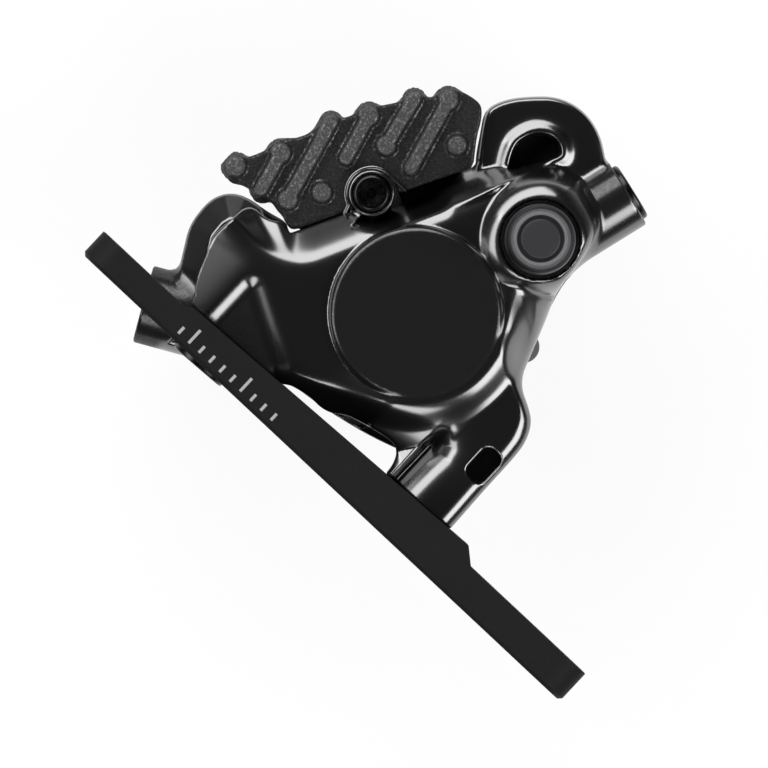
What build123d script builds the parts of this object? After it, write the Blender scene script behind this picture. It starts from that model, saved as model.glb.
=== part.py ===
from build123d import *
from math import cos, radians, sin, tan
import os

os.makedirs("parts", exist_ok=True)

# Bicycle disc brake caliper on its adapter bracket.
# Millimetres and degrees. The origin lies on the bracket's fork face, midway between the fork holes.
# +X runs along the bracket, +Y towards the wheel and +Z away from the fork.

# Driving dimensions
rotor_radius = 80.0
pad_inset = 13.0
pad_bearing = 153.5
rotor_y = 12.0
piston_x = -5.6
piston_z = 25.0
piston_diameter = 22.0
fork_hole_spacing = 70.0
caliper_bolt_spacing = 34.0
seat_height = 6.1
seat_slope = 2.3
body_length = 50.0
body_height = 54.0
face_depth = 17.0

# Clearances and the overrun of every cut
thread_clearance = 0.05
piston_clearance = 0.05
seal_clearance = 0.02
contact_gap = 0.05
pad_clearance = 0.3
overrun = 6.0

# Body halves, depths measured from the rotor plane
slab_depth = 8.5
arch_depth = 10.5
slot_half_width = 2.5
slot_clearance = 2.0
ridge_outward = 12.0
window_outward = 15.9
ridge_left_reach = 7.95
ridge_right_reach = 25.0
outline_round = 1.1
block_shoulder = 0.15
block_bevel = 1.2
lobe_facet = 2.4
inner_crown_fall = 2.6
inner_fall_start = 10.0
outer_crown_fall = 4.8
outer_fall_start = 12.0
boss_radius = 11.8
boss_height = 1.5
boss_round = 0.7
foot_cut_depth = 1.2
foot_cut_round = 0.6
foot_slot_width = 3.0
foot_slot_height = 4.9
foot_slot_x = 15.1
foot_slot_z = 16.2
foot_slot_depth = 6.0
arch_pocket_depth = 2.5
arch_pocket_round = 0.7
bore_depth = 15.0
seal_groove_depth = 1.2
seal_groove_width = 2.2
seal_groove_inset = 1.4

# Pads
plate_thickness = 1.8
plate_half_width = 14.3
plate_inward = 11.5
plate_outward = 13.2
plate_shoulder_step = 2.0
plate_corner = 2.2
lining_thickness = 2.0
lining_margin = 1.1
lining_inward = 11.0
lining_outward = 9.6
lining_corner = 3.0
lining_groove_width = 1.2
lining_groove_depth = 1.2
lining_face = 1.2
ear_radius = 4.0
axle_outward = 17.35

# Pistons
piston_length = 8.5
piston_wall = 3.4
piston_floor = 2.4
piston_lead = 0.6

# Cooling fins
fin_front = 13.0
fin_thickness = 2.0
fin_rib_height = 1.0
fin_rib_width = 1.3
fin_pin_radius = 1.1
fin_draft = 15.0
fin_inner_edge = 16.4
fin_wall = 1.7
fin_foot_thickness = 1.8
fin_foot_inward = 12.1
fin_foot_left_margin = 3.7
fin_foot_right_margin = 1.9
fin_corner = 0.8
notch_radius = 3.5

# Pad axle and snap ring
axle_radius = 2.0
axle_head_radius = 2.5
axle_head_length = 2.4
axle_seat_depth = 12.2
axle_socket = 3.0
axle_socket_depth = 1.7
axle_boss_radius = 3.15
axle_end_margin = 0.8
axle_rim_height = 1.8
clip_wire_radius = 0.35
clip_end_angle = 256.0
clip_leg_length = 3.3
clip_hook_length = 1.2
clip_tip_length = 0.9
clip_hook_bearing = 286.0
clip_tip_bearing = 340.0

# Pad spring
spring_sheet = 0.35
spring_web_outward = 14.3
spring_half_width = 4.6
spring_top_margin = 3.3
spring_stem_half_width = 1.6
spring_arm_outward = 11.3
spring_arm_width = 1.0
spring_arm_margin = 2.3
spring_hole_clearance = 0.35

# Bleed nipple and its cap
bleed_x = -0.2
bleed_z = 43.7
bleed_boss_base_radius = 9.4
bleed_boss_base_depth = 12.0
bleed_boss_radius = 5.8
bleed_boss_height = 1.8
nipple_thread_radius = 2.5
nipple_thread_length = 9.2
nipple_hex = 7.0
nipple_hex_height = 2.4
nipple_neck_radius = 1.9
nipple_neck_length = 2.0
nipple_barb_radius = 2.5
nipple_barb_length = 2.4
nipple_bore_radius = 0.8
cap_skirt_radius = 5.3
cap_skirt_height = 1.0
cap_radius = 4.6
cap_top = 1.2
cap_clearance = 0.15
cap_neck_clearance = 0.4
cap_groove_radius = 3.2
cap_groove_width = 0.6
cap_groove_depth = 0.6
cap_round = 0.35

# Gallery plug boss at the back
plug_x = 4.2
plug_z = 56.5
plug_depth = 9.0
plug_bearing = 75.0
plug_boss_radius = 4.9
plug_boss_length = 15.0
plug_head_radius = 4.1
plug_head_height = 0.8
plug_head_round = 0.5
plug_socket = 2.5
plug_socket_depth = 2.2
plug_thread_radius = 2.5
plug_thread_length = 7.0
plug_seal_radius = 3.6
plug_seal_thickness = 1.0
gallery_radius = 0.9
gallery_length = 7.0

# Crossover between the halves
crossover_x = -5.0
crossover_z = 57.0
crossover_seal_outer = 2.4
crossover_seal_inner = 1.4
crossover_groove_depth = 0.9
crossover_length = 5.0

# Body bolts
body_bolt_radius = 2.5
body_bolt_head_radius = 4.0
body_bolt_head_height = 4.0
body_bolt_socket = 4.0
body_bolt_socket_depth = 2.4
body_bolt_seat_depth = 6.0
body_bolt_reach = 6.0
lobe_bolt_x = -28.9
lobe_bolt_z = 14.0
arch_bolt_x = -11.4
arch_bolt_z = 53.2

# Hose inlet
hose_x = -33.75
hose_z = 0.55
hose_depth = 5.8
hose_bearing = 207.7
hose_boss_radius = 5.4
hose_boss_length = 16.0
hose_thread_radius = 3.75
hose_thread_depth = 9.0
hose_bore_radius = 1.5
hose_bore_depth = 13.0

# Adapter bracket
bracket_width = 18.0
bracket_left = -44.0
bracket_right = 44.4
bracket_left_height = 4.2
bracket_right_height = 5.05
bracket_step_x = -29.5
bracket_seat_left = -28.0
bracket_seat_right = 21.0
bracket_ramp_end = 23.2
bracket_corner = 4.0
bracket_edge_round = 0.5
fork_slot_radius = 2.75
fork_slot_travel = 3.0

# Caliper fixing bolts
fixing_bolt_radius = 2.5
fixing_bolt_length = 10.5
fixing_head_radius = 4.2
fixing_head_height = 2.6
fixing_head_recess = 2.9
fixing_socket = 4.0
fixing_socket_depth = 1.6
fixing_hole_depth = 10.0

# Outlines of the body, as shares of its length and height, counted from the piston's centre
foot_right_shares = [(0.236, -0.41), (0.468, -0.41), (0.460, -0.065), (0.420, 0.006), (0.324, 0.070)]
neck_shares = [(0.232, 0.296), (0.240, 0.398)]
lobe_low_shares = [(-0.532, -0.217), (-0.500, -0.278), (-0.452, -0.41)]
slab_lobe_top_shares = [(-0.432, -0.076), (-0.470, -0.086), (-0.532, -0.091)]
face_lobe_top_shares = [(-0.340, -0.104), (-0.398, -0.133), (-0.532, -0.143)]
slab_underside_shares = [(-0.094, -0.41), (-0.090, -0.344), (0.004, -0.333), (0.072, -0.296),
                         (0.196, -0.278), (0.236, -0.322)]
face_underside_shares = [(-0.178, -0.41), (-0.174, -0.346), (-0.008, -0.276), (0.112, -0.226),
                         (0.286, -0.152), (0.250, -0.306)]
slab_crown_shares = [(0.152, 0.548), (-0.018, 0.602)]
face_crown_shares = [(0.152, 0.519), (0.022, 0.565)]
arch_right_shares = [(0.086, 0.444), (0.088, 0.609)]
arch_top_shares = [(-0.040, 0.656), (-0.168, 0.598)]
arch_left_shares = [(-0.224, 0.543), (-0.234, 0.491)]
inner_low_shares = [(0.152, -0.304), (0.332, -0.231), (0.356, -0.056), (0.320, 0.070)]
inner_lobe_shares = [(-0.432, -0.068), (-0.558, -0.080), (-0.620, -0.139), (-0.616, -0.213),
                     (-0.552, -0.328), (-0.408, -0.400)]
inner_face_low_shares = [(0.120, -0.262), (0.300, -0.200), (0.330, -0.056), (0.300, 0.060)]
inner_face_lobe_shares = [(-0.378, -0.124), (-0.458, -0.156), (-0.545, -0.205), (-0.575, -0.262),
                          (-0.518, -0.304), (-0.368, -0.285)]
foot_cut_shares = [(-0.388, -0.176), (-0.376, -0.41), (-0.188, -0.41), (-0.188, -0.352)]
arch_pocket_shares = [(-0.113, 0.499), (-0.100, 0.543), (-0.046, 0.560), (-0.006, 0.536), (-0.078, 0.424),
                      (-0.102, 0.446)]

# Outline of the cooling fin, as shares of its reach across and outward, counted from its inner edge
fin_width = 36.0
fin_reach = 15.0
fin_left_shares = [(-0.340, 0.000), (-0.347, 0.233), (-0.422, 0.480), (-0.489, 0.700), (-0.472, 0.760)]
fin_outer_shares = [(-0.431, 0.773), (-0.233, 0.800), (0.131, 0.787), (0.289, 0.733), (0.414, 0.680),
                    (0.475, 0.560), (0.497, 0.480)]
fin_right_shares = [(0.481, 0.333), (0.400, 0.000)]
fin_pin_shares = [(-0.444, 0.713), (-0.267, 0.687), (-0.303, 0.273), (-0.174, 0.227), (0.092, 0.720),
                  (0.114, 0.420), (0.392, 0.607), (0.364, 0.200)]
fin_rib_shares = [(-0.267, 0.687, -0.386, 0.453), (-0.056, 0.740, -0.303, 0.273),
                  (0.092, 0.720, -0.042, 0.453), (0.272, 0.680, 0.114, 0.420), (0.392, 0.607, 0.171, 0.147)]


def unit(bearing):
    """Direction in the XZ plane, with bearing 0 along +X and 90 along +Z."""
    return Vector(cos(radians(bearing)), 0, sin(radians(bearing)))


outward = unit(pad_bearing)
across = unit(pad_bearing - 90)
towards_viewer = Vector(0, -1, 0)
piston_radius = piston_diameter / 2
bore_radius = piston_radius + piston_clearance
pad_radius = rotor_radius - pad_inset
plate_back = lining_face + lining_thickness + plate_thickness
plate_front = plate_back - plate_thickness
pocket_depth = plate_back + pad_clearance
plate_shoulder = plate_half_width - plate_shoulder_step
lining_half_width = plate_half_width - lining_margin
fin_foot_left = plate_half_width - fin_foot_left_margin
fin_foot_right = plate_half_width - fin_foot_right_margin
spring_arm_reach = plate_half_width - spring_arm_margin
rotor_centre = Vector(piston_x, rotor_y, piston_z) - pad_radius * outward
rotor_plane = Plane(origin=(0, rotor_y, 0), x_dir=(1, 0, 0), z_dir=(0, -1, 0))
seat_plane = Plane(origin=(0, 0, seat_height), x_dir=unit(seat_slope), z_dir=unit(seat_slope + 90))


def face_plane(depth):
    """Front view about the piston's centre at a depth from the rotor plane. Its x is +X and its y is +Z."""
    return Plane(origin=(piston_x, rotor_y - depth, piston_z), x_dir=(1, 0, 0), z_dir=towards_viewer)


def pad_plane(depth):
    """The same view turned to the pad: x runs across the pad and y outward from the rotor's centre."""
    return Plane(origin=(piston_x, rotor_y - depth, piston_z), x_dir=across, z_dir=towards_viewer)


def section_plane(reach):
    """Section through the pad at a place across it: x runs outward and y is the depth."""
    origin = Vector(piston_x, rotor_y, piston_z) + reach * across
    return Plane(origin=origin, x_dir=outward, z_dir=across)


def from_pad(reach, out):
    """A point of the pad's view, given in the front view."""
    place = reach * across + out * outward
    return (place.X, place.Z)


def body_points(shares):
    return [(body_length * right, body_height * up) for right, up in shares]


def fin_points(shares):
    return [(fin_width * right, fin_inner_edge + fin_reach * out) for right, out in shares]


def seat_line(x):
    """Height of the bracket's seat above the fork face."""
    return seat_height + x * tan(radians(seat_slope))


def front_place(x, z):
    """A place of the whole part's front view, counted from the piston's centre."""
    return (x - piston_x, z - piston_z)


plate_corner_right = from_pad(plate_half_width + pad_clearance, window_outward)
ridge_left = from_pad(-ridge_left_reach, ridge_outward)
ridge_right = from_pad(ridge_right_reach, ridge_outward)
window_right = from_pad(ridge_right_reach, window_outward)
lobe_neck = from_pad(-fin_foot_left - 2 * pad_clearance, window_outward)
neck_edge = piston_x + body_points(neck_shares)[-1][0]
lobe_span = (piston_x - body_length, piston_x + lobe_neck[0])
axle_place = (0, axle_outward)
body_bolt_places = [front_place(lobe_bolt_x, lobe_bolt_z), front_place(arch_bolt_x, arch_bolt_z)]
hose_plane = Plane(origin=(hose_x, rotor_y + hose_depth, hose_z), x_dir=(0, 1, 0), z_dir=unit(hose_bearing))
plug_plane = Plane(origin=(plug_x, rotor_y - plug_depth, plug_z), x_dir=(0, 1, 0), z_dir=unit(plug_bearing))
fixing_slant = cos(radians(seat_slope))
fixing_places = [((side * caliper_bolt_spacing / 2 + piston_x) / fixing_slant, 0) for side in (-1, 1)]
fork_places = [(side * fork_hole_spacing / 2, 0) for side in (-1, 1)]


def arch_outline():
    """The top of a body half over the rotor, from its right corner to the window."""
    right_low, right_high = body_points(arch_right_shares)
    crown, left_high = body_points(arch_top_shares)
    shoulder, left_low = body_points(arch_left_shares)
    Line(right_low, right_high)
    ThreePointArc(right_high, crown, left_high)
    ThreePointArc(left_high, shoulder, left_low)
    Line(left_low, plate_corner_right)
    return right_low


# Room in both halves for the rotor, the pads and the fins' feet
with BuildPart() as pad_room:
    with BuildSketch(Plane(origin=rotor_centre, x_dir=(1, 0, 0), z_dir=towards_viewer)):
        Circle(rotor_radius + slot_clearance)
    extrude(amount=slot_half_width, both=True)
    with BuildSketch(pad_plane(0)):
        with BuildLine():
            Polyline((-plate_half_width - pad_clearance, -plate_inward - pad_clearance),
                     (plate_half_width + pad_clearance, -plate_inward - pad_clearance),
                     (plate_half_width + pad_clearance, window_outward + overrun),
                     (-plate_half_width - pad_clearance, window_outward + overrun), close=True)
        make_face()
    extrude(amount=pocket_depth, both=True)
    with BuildSketch(pad_plane(0)):
        with BuildLine():
            Polyline((-fin_foot_left - pad_clearance, fin_foot_inward - pad_clearance),
                     (fin_foot_right + pad_clearance, fin_foot_inward - pad_clearance),
                     (fin_foot_right + pad_clearance, window_outward + overrun),
                     (-fin_foot_left - pad_clearance, window_outward + overrun), close=True)
        make_face()
    extrude(amount=plate_back + fin_foot_thickness + pad_clearance, both=True)

# The two cylinders, each with the groove of its seal
with BuildPart() as cylinder_room:
    with BuildSketch(pad_plane(0)):
        Circle(bore_radius)
    extrude(amount=bore_depth, both=True)
    for side in (-1, 1):
        with BuildSketch(pad_plane(side * (pocket_depth + seal_groove_inset))):
            Circle(bore_radius + seal_groove_depth)
        extrude(amount=side * seal_groove_width)

# The cone under the bleed nipple, flush with the neck's edge on one side
with BuildPart() as bleed_cone:
    with BuildSketch(face_plane(bleed_boss_base_depth)):
        with Locations(front_place(bleed_x, bleed_z)):
            Circle(bleed_boss_base_radius)
    with BuildSketch(face_plane(face_depth + bleed_boss_height)):
        with Locations(front_place(bleed_x, bleed_z)):
            Circle(bleed_boss_radius)
    loft()
    split(bisect_by=Plane(origin=(neck_edge, 0, 0), z_dir=(-1, 0, 0)), keep=Keep.TOP)

# Outer body half: a slab next to the rotor and a tapered block in front of it, which carries the feet
with BuildPart() as outer_body_half:
    with BuildSketch(face_plane(0)):
        with BuildLine():
            start = arch_outline()
            Polyline(plate_corner_right, lobe_neck, *body_points(slab_lobe_top_shares),
                     *body_points(lobe_low_shares), *body_points(slab_underside_shares),
                     *body_points(foot_right_shares), *body_points(neck_shares), start)
        make_face()
    extrude(amount=slab_depth)
    with BuildSketch(face_plane(slab_depth)) as lower:
        with BuildLine():
            Polyline(lobe_neck, *body_points(slab_lobe_top_shares),
                     *body_points(lobe_low_shares), *body_points(slab_underside_shares),
                     *body_points(foot_right_shares), *body_points(neck_shares),
                     *body_points(slab_crown_shares), window_right, close=True)
        make_face()
        offset(amount=-block_shoulder, kind=Kind.INTERSECTION)
        fillet(lower.vertices(), outline_round)
    with BuildSketch(face_plane(face_depth)) as upper:
        with BuildLine():
            Polyline(ridge_left, *body_points(face_lobe_top_shares),
                     *body_points(lobe_low_shares), *body_points(face_underside_shares),
                     *body_points(foot_right_shares), *body_points(neck_shares),
                     *body_points(face_crown_shares), ridge_right, close=True)
        make_face()
        offset(amount=-block_shoulder, kind=Kind.INTERSECTION)
        fillet(upper.vertices(), outline_round)
    loft(ruled=True)
    # The face falls towards the arch
    with BuildSketch(Plane(origin=(piston_x, rotor_y, piston_z), x_dir=across, z_dir=-outward)):
        with BuildLine():
            Polyline((outer_fall_start, face_depth), (ridge_right_reach, face_depth - outer_crown_fall),
                     (ridge_right_reach + overrun, face_depth - outer_crown_fall),
                     (ridge_right_reach + overrun, face_depth + overrun),
                     (outer_fall_start, face_depth + overrun), close=True)
        make_face()
    extrude(amount=body_length, both=True, mode=Mode.SUBTRACT)
    # The arch over the rotor, with its pocket
    with BuildSketch(face_plane(0)):
        with BuildLine():
            start = arch_outline()
            Line(plate_corner_right, start)
        make_face()
    extrude(amount=arch_depth)
    with BuildSketch(face_plane(arch_depth)) as arch_pocket:
        with BuildLine():
            Polyline(*body_points(arch_pocket_shares), close=True)
        make_face()
        fillet(arch_pocket.vertices(), arch_pocket_round)
    extrude(amount=-arch_pocket_depth, mode=Mode.SUBTRACT)
    # The round boss over the piston, with a rolled rim
    with BuildSketch(face_plane(bore_depth)):
        Circle(boss_radius)
    extrude(amount=face_depth + boss_height - bore_depth)
    fillet(outer_body_half.faces().sort_by(Axis.Y)[0].edges(), boss_round)
    add(bleed_cone.part)
    # The slanted boss of the gallery plug
    with BuildSketch(plug_plane):
        Circle(plug_boss_radius)
    extrude(amount=-plug_boss_length)
    # Feet cut to the bracket's seat
    split(bisect_by=seat_plane, keep=Keep.TOP)
    with BuildSketch(seat_plane):
        with Locations(*fixing_places):
            Circle(fixing_bolt_radius + thread_clearance)
    extrude(amount=fixing_hole_depth, mode=Mode.SUBTRACT)
    with BuildSketch(face_plane(face_depth)):
        with Locations(front_place(foot_slot_x, foot_slot_z)):
            SlotOverall(foot_slot_height, foot_slot_width, rotation=90)
    extrude(amount=-foot_slot_depth, mode=Mode.SUBTRACT)
    with BuildSketch(face_plane(face_depth)) as foot_pocket:
        with BuildLine():
            Polyline(*body_points(foot_cut_shares), close=True)
        make_face()
        fillet(foot_pocket.vertices(), foot_cut_round)
    extrude(amount=-foot_cut_depth, mode=Mode.SUBTRACT)
    add(pad_room.part, mode=Mode.SUBTRACT)
    # The boss that holds the pad axle
    with BuildSketch(pad_plane(pocket_depth)):
        with Locations(axle_place):
            Circle(axle_boss_radius)
    extrude(amount=axle_seat_depth + axle_rim_height - pocket_depth)
    with BuildSketch(pad_plane(0)):
        with Locations(axle_place):
            Circle(axle_radius + thread_clearance)
    extrude(amount=axle_seat_depth + overrun, mode=Mode.SUBTRACT)
    with BuildSketch(pad_plane(axle_seat_depth)):
        with Locations(axle_place):
            Circle(axle_head_radius + thread_clearance)
    extrude(amount=overrun, mode=Mode.SUBTRACT)
    add(cylinder_room.part, mode=Mode.SUBTRACT)
    # Screw holes and fluid ways
    with BuildSketch(face_plane(face_depth + bleed_boss_height)):
        with Locations(front_place(bleed_x, bleed_z)):
            Circle(nipple_thread_radius + thread_clearance)
    extrude(amount=-nipple_thread_length - thread_clearance, mode=Mode.SUBTRACT)
    with BuildSketch(plug_plane):
        Circle(plug_thread_radius + thread_clearance)
    extrude(amount=-plug_thread_length - thread_clearance, mode=Mode.SUBTRACT)
    with BuildSketch(plug_plane):
        Circle(plug_seal_radius + thread_clearance)
    extrude(amount=-plug_seal_thickness, mode=Mode.SUBTRACT)
    with BuildSketch(plug_plane.offset(-plug_thread_length)):
        Circle(gallery_radius)
    extrude(amount=-gallery_length, mode=Mode.SUBTRACT)
    with BuildSketch(face_plane(0)):
        with Locations(*body_bolt_places):
            Circle(body_bolt_radius + thread_clearance)
    extrude(amount=body_bolt_reach + thread_clearance, mode=Mode.SUBTRACT)
    with BuildSketch(face_plane(0)):
        with Locations(front_place(crossover_x, crossover_z)):
            Circle(crossover_seal_outer + seal_clearance)
    extrude(amount=crossover_groove_depth, mode=Mode.SUBTRACT)
    with BuildSketch(face_plane(0)):
        with Locations(front_place(crossover_x, crossover_z)):
            Circle(gallery_radius)
    extrude(amount=crossover_length, mode=Mode.SUBTRACT)

# Inner body half: the same cylinder behind the rotor, with a larger lobe and the hose inlet
with BuildPart() as inner_body_half:
    with BuildSketch(face_plane(0)):
        with BuildLine():
            start = arch_outline()
            Polyline(plate_corner_right, lobe_neck, *body_points(inner_lobe_shares),
                     *body_points(inner_low_shares), *body_points(neck_shares), start)
        make_face()
    extrude(amount=-slab_depth)
    # Flat facets round the lobe, on its side towards the rotor
    lobe_front = inner_body_half.edges().filter_by_position(Axis.Y, rotor_y, rotor_y)
    chamfer(lobe_front.filter_by_position(Axis.X, *lobe_span), lobe_facet)
    # The tapered block over the cylinder and the lobe, with a bevelled edge
    with BuildSketch(face_plane(-slab_depth)) as inner_lower:
        with BuildLine():
            Polyline(lobe_neck, *body_points(inner_lobe_shares), *body_points(inner_low_shares),
                     *body_points(neck_shares), *body_points(slab_crown_shares), window_right, close=True)
        make_face()
        offset(amount=-block_shoulder, kind=Kind.INTERSECTION)
        fillet(inner_lower.vertices(), outline_round)
    for depth, inset in ((face_depth - block_bevel, block_shoulder), (face_depth, block_bevel)):
        with BuildSketch(face_plane(-depth)) as inner_upper:
            with BuildLine():
                Polyline(ridge_left, *body_points(inner_face_lobe_shares),
                         *body_points(inner_face_low_shares), *body_points(neck_shares),
                         *body_points(face_crown_shares), ridge_right, close=True)
            make_face()
            offset(amount=-inset, kind=Kind.INTERSECTION)
            fillet(inner_upper.vertices(), outline_round)
    loft(ruled=True)
    # The face falls towards the arch
    with BuildSketch(Plane(origin=(piston_x, rotor_y, piston_z), x_dir=across, z_dir=outward)):
        with BuildLine():
            Polyline((inner_fall_start, face_depth), (ridge_right_reach, face_depth - inner_crown_fall),
                     (ridge_right_reach + overrun, face_depth - inner_crown_fall),
                     (ridge_right_reach + overrun, face_depth + overrun),
                     (inner_fall_start, face_depth + overrun), close=True)
        make_face()
    extrude(amount=body_length, both=True, mode=Mode.SUBTRACT)
    with BuildSketch(face_plane(0)):
        with BuildLine():
            start = arch_outline()
            Line(plate_corner_right, start)
        make_face()
        with BuildLine():
            Polyline(*body_points(inner_lobe_shares), close=True)
        make_face()
    extrude(amount=-arch_depth)
    with BuildSketch(face_plane(-bore_depth)):
        Circle(boss_radius)
    extrude(amount=bore_depth - face_depth - boss_height)
    fillet(inner_body_half.faces().sort_by(Axis.Y)[-1].edges(), boss_round)
    with BuildSketch(hose_plane):
        Circle(hose_boss_radius)
    extrude(amount=-hose_boss_length)
    add(pad_room.part, mode=Mode.SUBTRACT)
    with BuildSketch(pad_plane(-pocket_depth)):
        with Locations(axle_place):
            Circle(axle_boss_radius)
    extrude(amount=pocket_depth - axle_seat_depth)
    with BuildSketch(pad_plane(0)):
        with Locations(axle_place):
            Circle(axle_radius + thread_clearance)
    extrude(amount=-axle_seat_depth + axle_end_margin, mode=Mode.SUBTRACT)
    add(cylinder_room.part, mode=Mode.SUBTRACT)
    with BuildSketch(face_plane(0)):
        with Locations(*body_bolt_places):
            Circle(body_bolt_radius + thread_clearance)
    extrude(amount=-arch_depth - overrun, mode=Mode.SUBTRACT)
    with BuildSketch(face_plane(-body_bolt_seat_depth)):
        with Locations(*body_bolt_places):
            Circle(body_bolt_head_radius + thread_clearance)
    extrude(amount=-face_depth, mode=Mode.SUBTRACT)
    with BuildSketch(face_plane(0)):
        with Locations(front_place(crossover_x, crossover_z)):
            Circle(gallery_radius)
    extrude(amount=-crossover_length, mode=Mode.SUBTRACT)
    with BuildSketch(hose_plane):
        Circle(hose_thread_radius)
    extrude(amount=-hose_thread_depth, mode=Mode.SUBTRACT)
    with BuildSketch(hose_plane):
        Circle(hose_bore_radius)
    extrude(amount=-hose_bore_depth, mode=Mode.SUBTRACT)

# Two bolts that clamp the halves, put in from the inner side
with BuildPart() as body_bolts:
    with BuildSketch(face_plane(body_bolt_reach)):
        with Locations(*body_bolt_places):
            Circle(body_bolt_radius)
    extrude(amount=-body_bolt_reach - body_bolt_seat_depth)
    with BuildSketch(face_plane(-body_bolt_seat_depth)):
        with Locations(*body_bolt_places):
            Circle(body_bolt_head_radius)
    extrude(amount=-body_bolt_head_height)
    with BuildSketch(face_plane(-body_bolt_seat_depth - body_bolt_head_height)):
        with Locations(*body_bolt_places):
            RegularPolygon(body_bolt_socket / 2, 6, major_radius=False)
    extrude(amount=body_bolt_socket_depth, mode=Mode.SUBTRACT)

with BuildPart() as crossover_seal:
    with BuildSketch(face_plane(0)):
        with Locations(front_place(crossover_x, crossover_z)):
            Circle(crossover_seal_outer)
            Circle(crossover_seal_inner, mode=Mode.SUBTRACT)
    extrude(amount=crossover_groove_depth)

# Adapter bracket: a wedge under the caliper's feet, with a slotted ear at each end
with BuildPart() as mount_bracket:
    with BuildSketch(Plane.XZ.offset(-bracket_width / 2)):
        with BuildLine():
            Polyline((bracket_left, 0), (bracket_left, bracket_left_height),
                     (bracket_step_x, bracket_left_height),
                     (bracket_seat_left, seat_line(bracket_seat_left)),
                     (bracket_seat_right, seat_line(bracket_seat_right)),
                     (bracket_ramp_end, bracket_right_height),
                     (bracket_right, bracket_right_height), (bracket_right, 0), close=True)
        make_face()
    extrude(amount=bracket_width)
    fillet(mount_bracket.edges().filter_by(Axis.Z), bracket_corner)
    chamfer(mount_bracket.faces().sort_by(Axis.Z)[0].edges(), bracket_edge_round)
    with BuildSketch(Plane.XY):
        with Locations(*fork_places):
            SlotCenterToCenter(fork_slot_travel, 2 * fork_slot_radius, rotation=90)
    extrude(amount=seat_height + overrun, mode=Mode.SUBTRACT)
    with BuildSketch(seat_plane):
        with Locations(*fixing_places):
            Circle(fixing_bolt_radius + thread_clearance)
    extrude(amount=-seat_height - overrun, mode=Mode.SUBTRACT)
    with BuildSketch(seat_plane.offset(fixing_head_recess - seat_height)):
        with Locations(*fixing_places):
            Circle(fixing_head_radius + thread_clearance)
    extrude(amount=-overrun, mode=Mode.SUBTRACT)

with BuildPart() as caliper_fixing_bolts:
    head_seat = seat_plane.offset(fixing_head_recess - seat_height)
    with BuildSketch(head_seat):
        with Locations(*fixing_places):
            Circle(fixing_bolt_radius)
    extrude(amount=fixing_bolt_length)
    with BuildSketch(head_seat):
        with Locations(*fixing_places):
            Circle(fixing_head_radius)
    extrude(amount=-fixing_head_height)
    with BuildSketch(head_seat.offset(-fixing_head_height)):
        with Locations(*fixing_places):
            RegularPolygon(fixing_socket / 2, 6, major_radius=False)
    extrude(amount=fixing_socket_depth, mode=Mode.SUBTRACT)

# Piston, seal and pad of the outer side
with BuildPart() as outer_piston:
    with BuildSketch(pad_plane(plate_back + contact_gap)):
        Circle(piston_radius)
    extrude(amount=piston_length)
    chamfer(outer_piston.edges().sort_by(Axis.Y)[0], piston_lead)
    with BuildSketch(pad_plane(plate_back + contact_gap)):
        Circle(piston_radius - piston_wall)
    extrude(amount=piston_length - piston_floor, mode=Mode.SUBTRACT)

with BuildPart() as outer_piston_seal:
    with BuildSketch(pad_plane(pocket_depth + seal_groove_inset)):
        Circle(bore_radius + seal_groove_depth)
        Circle(piston_radius + seal_clearance, mode=Mode.SUBTRACT)
    extrude(amount=seal_groove_width)

with BuildPart() as outer_pad_plate:
    with BuildSketch(pad_plane(plate_front)) as plate_outline:
        with BuildLine():
            Polyline((-plate_half_width, -plate_inward), (plate_half_width, -plate_inward),
                     (plate_half_width, plate_inward), (plate_shoulder, plate_outward),
                     (-plate_shoulder, plate_outward), (-plate_half_width, plate_inward), close=True)
        make_face()
        fillet(plate_outline.vertices().group_by(Axis.Z)[0], plate_corner)
        with Locations(axle_place):
            Circle(ear_radius)
        with Locations((0, axle_outward / 2)):
            Rectangle(2 * ear_radius, axle_outward)
        with Locations(axle_place):
            Circle(axle_radius + pad_clearance, mode=Mode.SUBTRACT)
    extrude(amount=plate_thickness)

with BuildPart() as outer_pad_lining:
    with BuildSketch(pad_plane(lining_face)) as lining_outline:
        with BuildLine():
            Polyline((-lining_half_width, -lining_inward), (lining_half_width, -lining_inward),
                     (lining_half_width, lining_outward), (-lining_half_width, lining_outward), close=True)
        make_face()
        fillet(lining_outline.vertices(), lining_corner)
    extrude(amount=lining_thickness)
    with BuildSketch(pad_plane(lining_face)):
        Rectangle(lining_groove_width, 2 * (lining_inward + lining_outward))
    extrude(amount=lining_groove_depth, mode=Mode.SUBTRACT)

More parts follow.
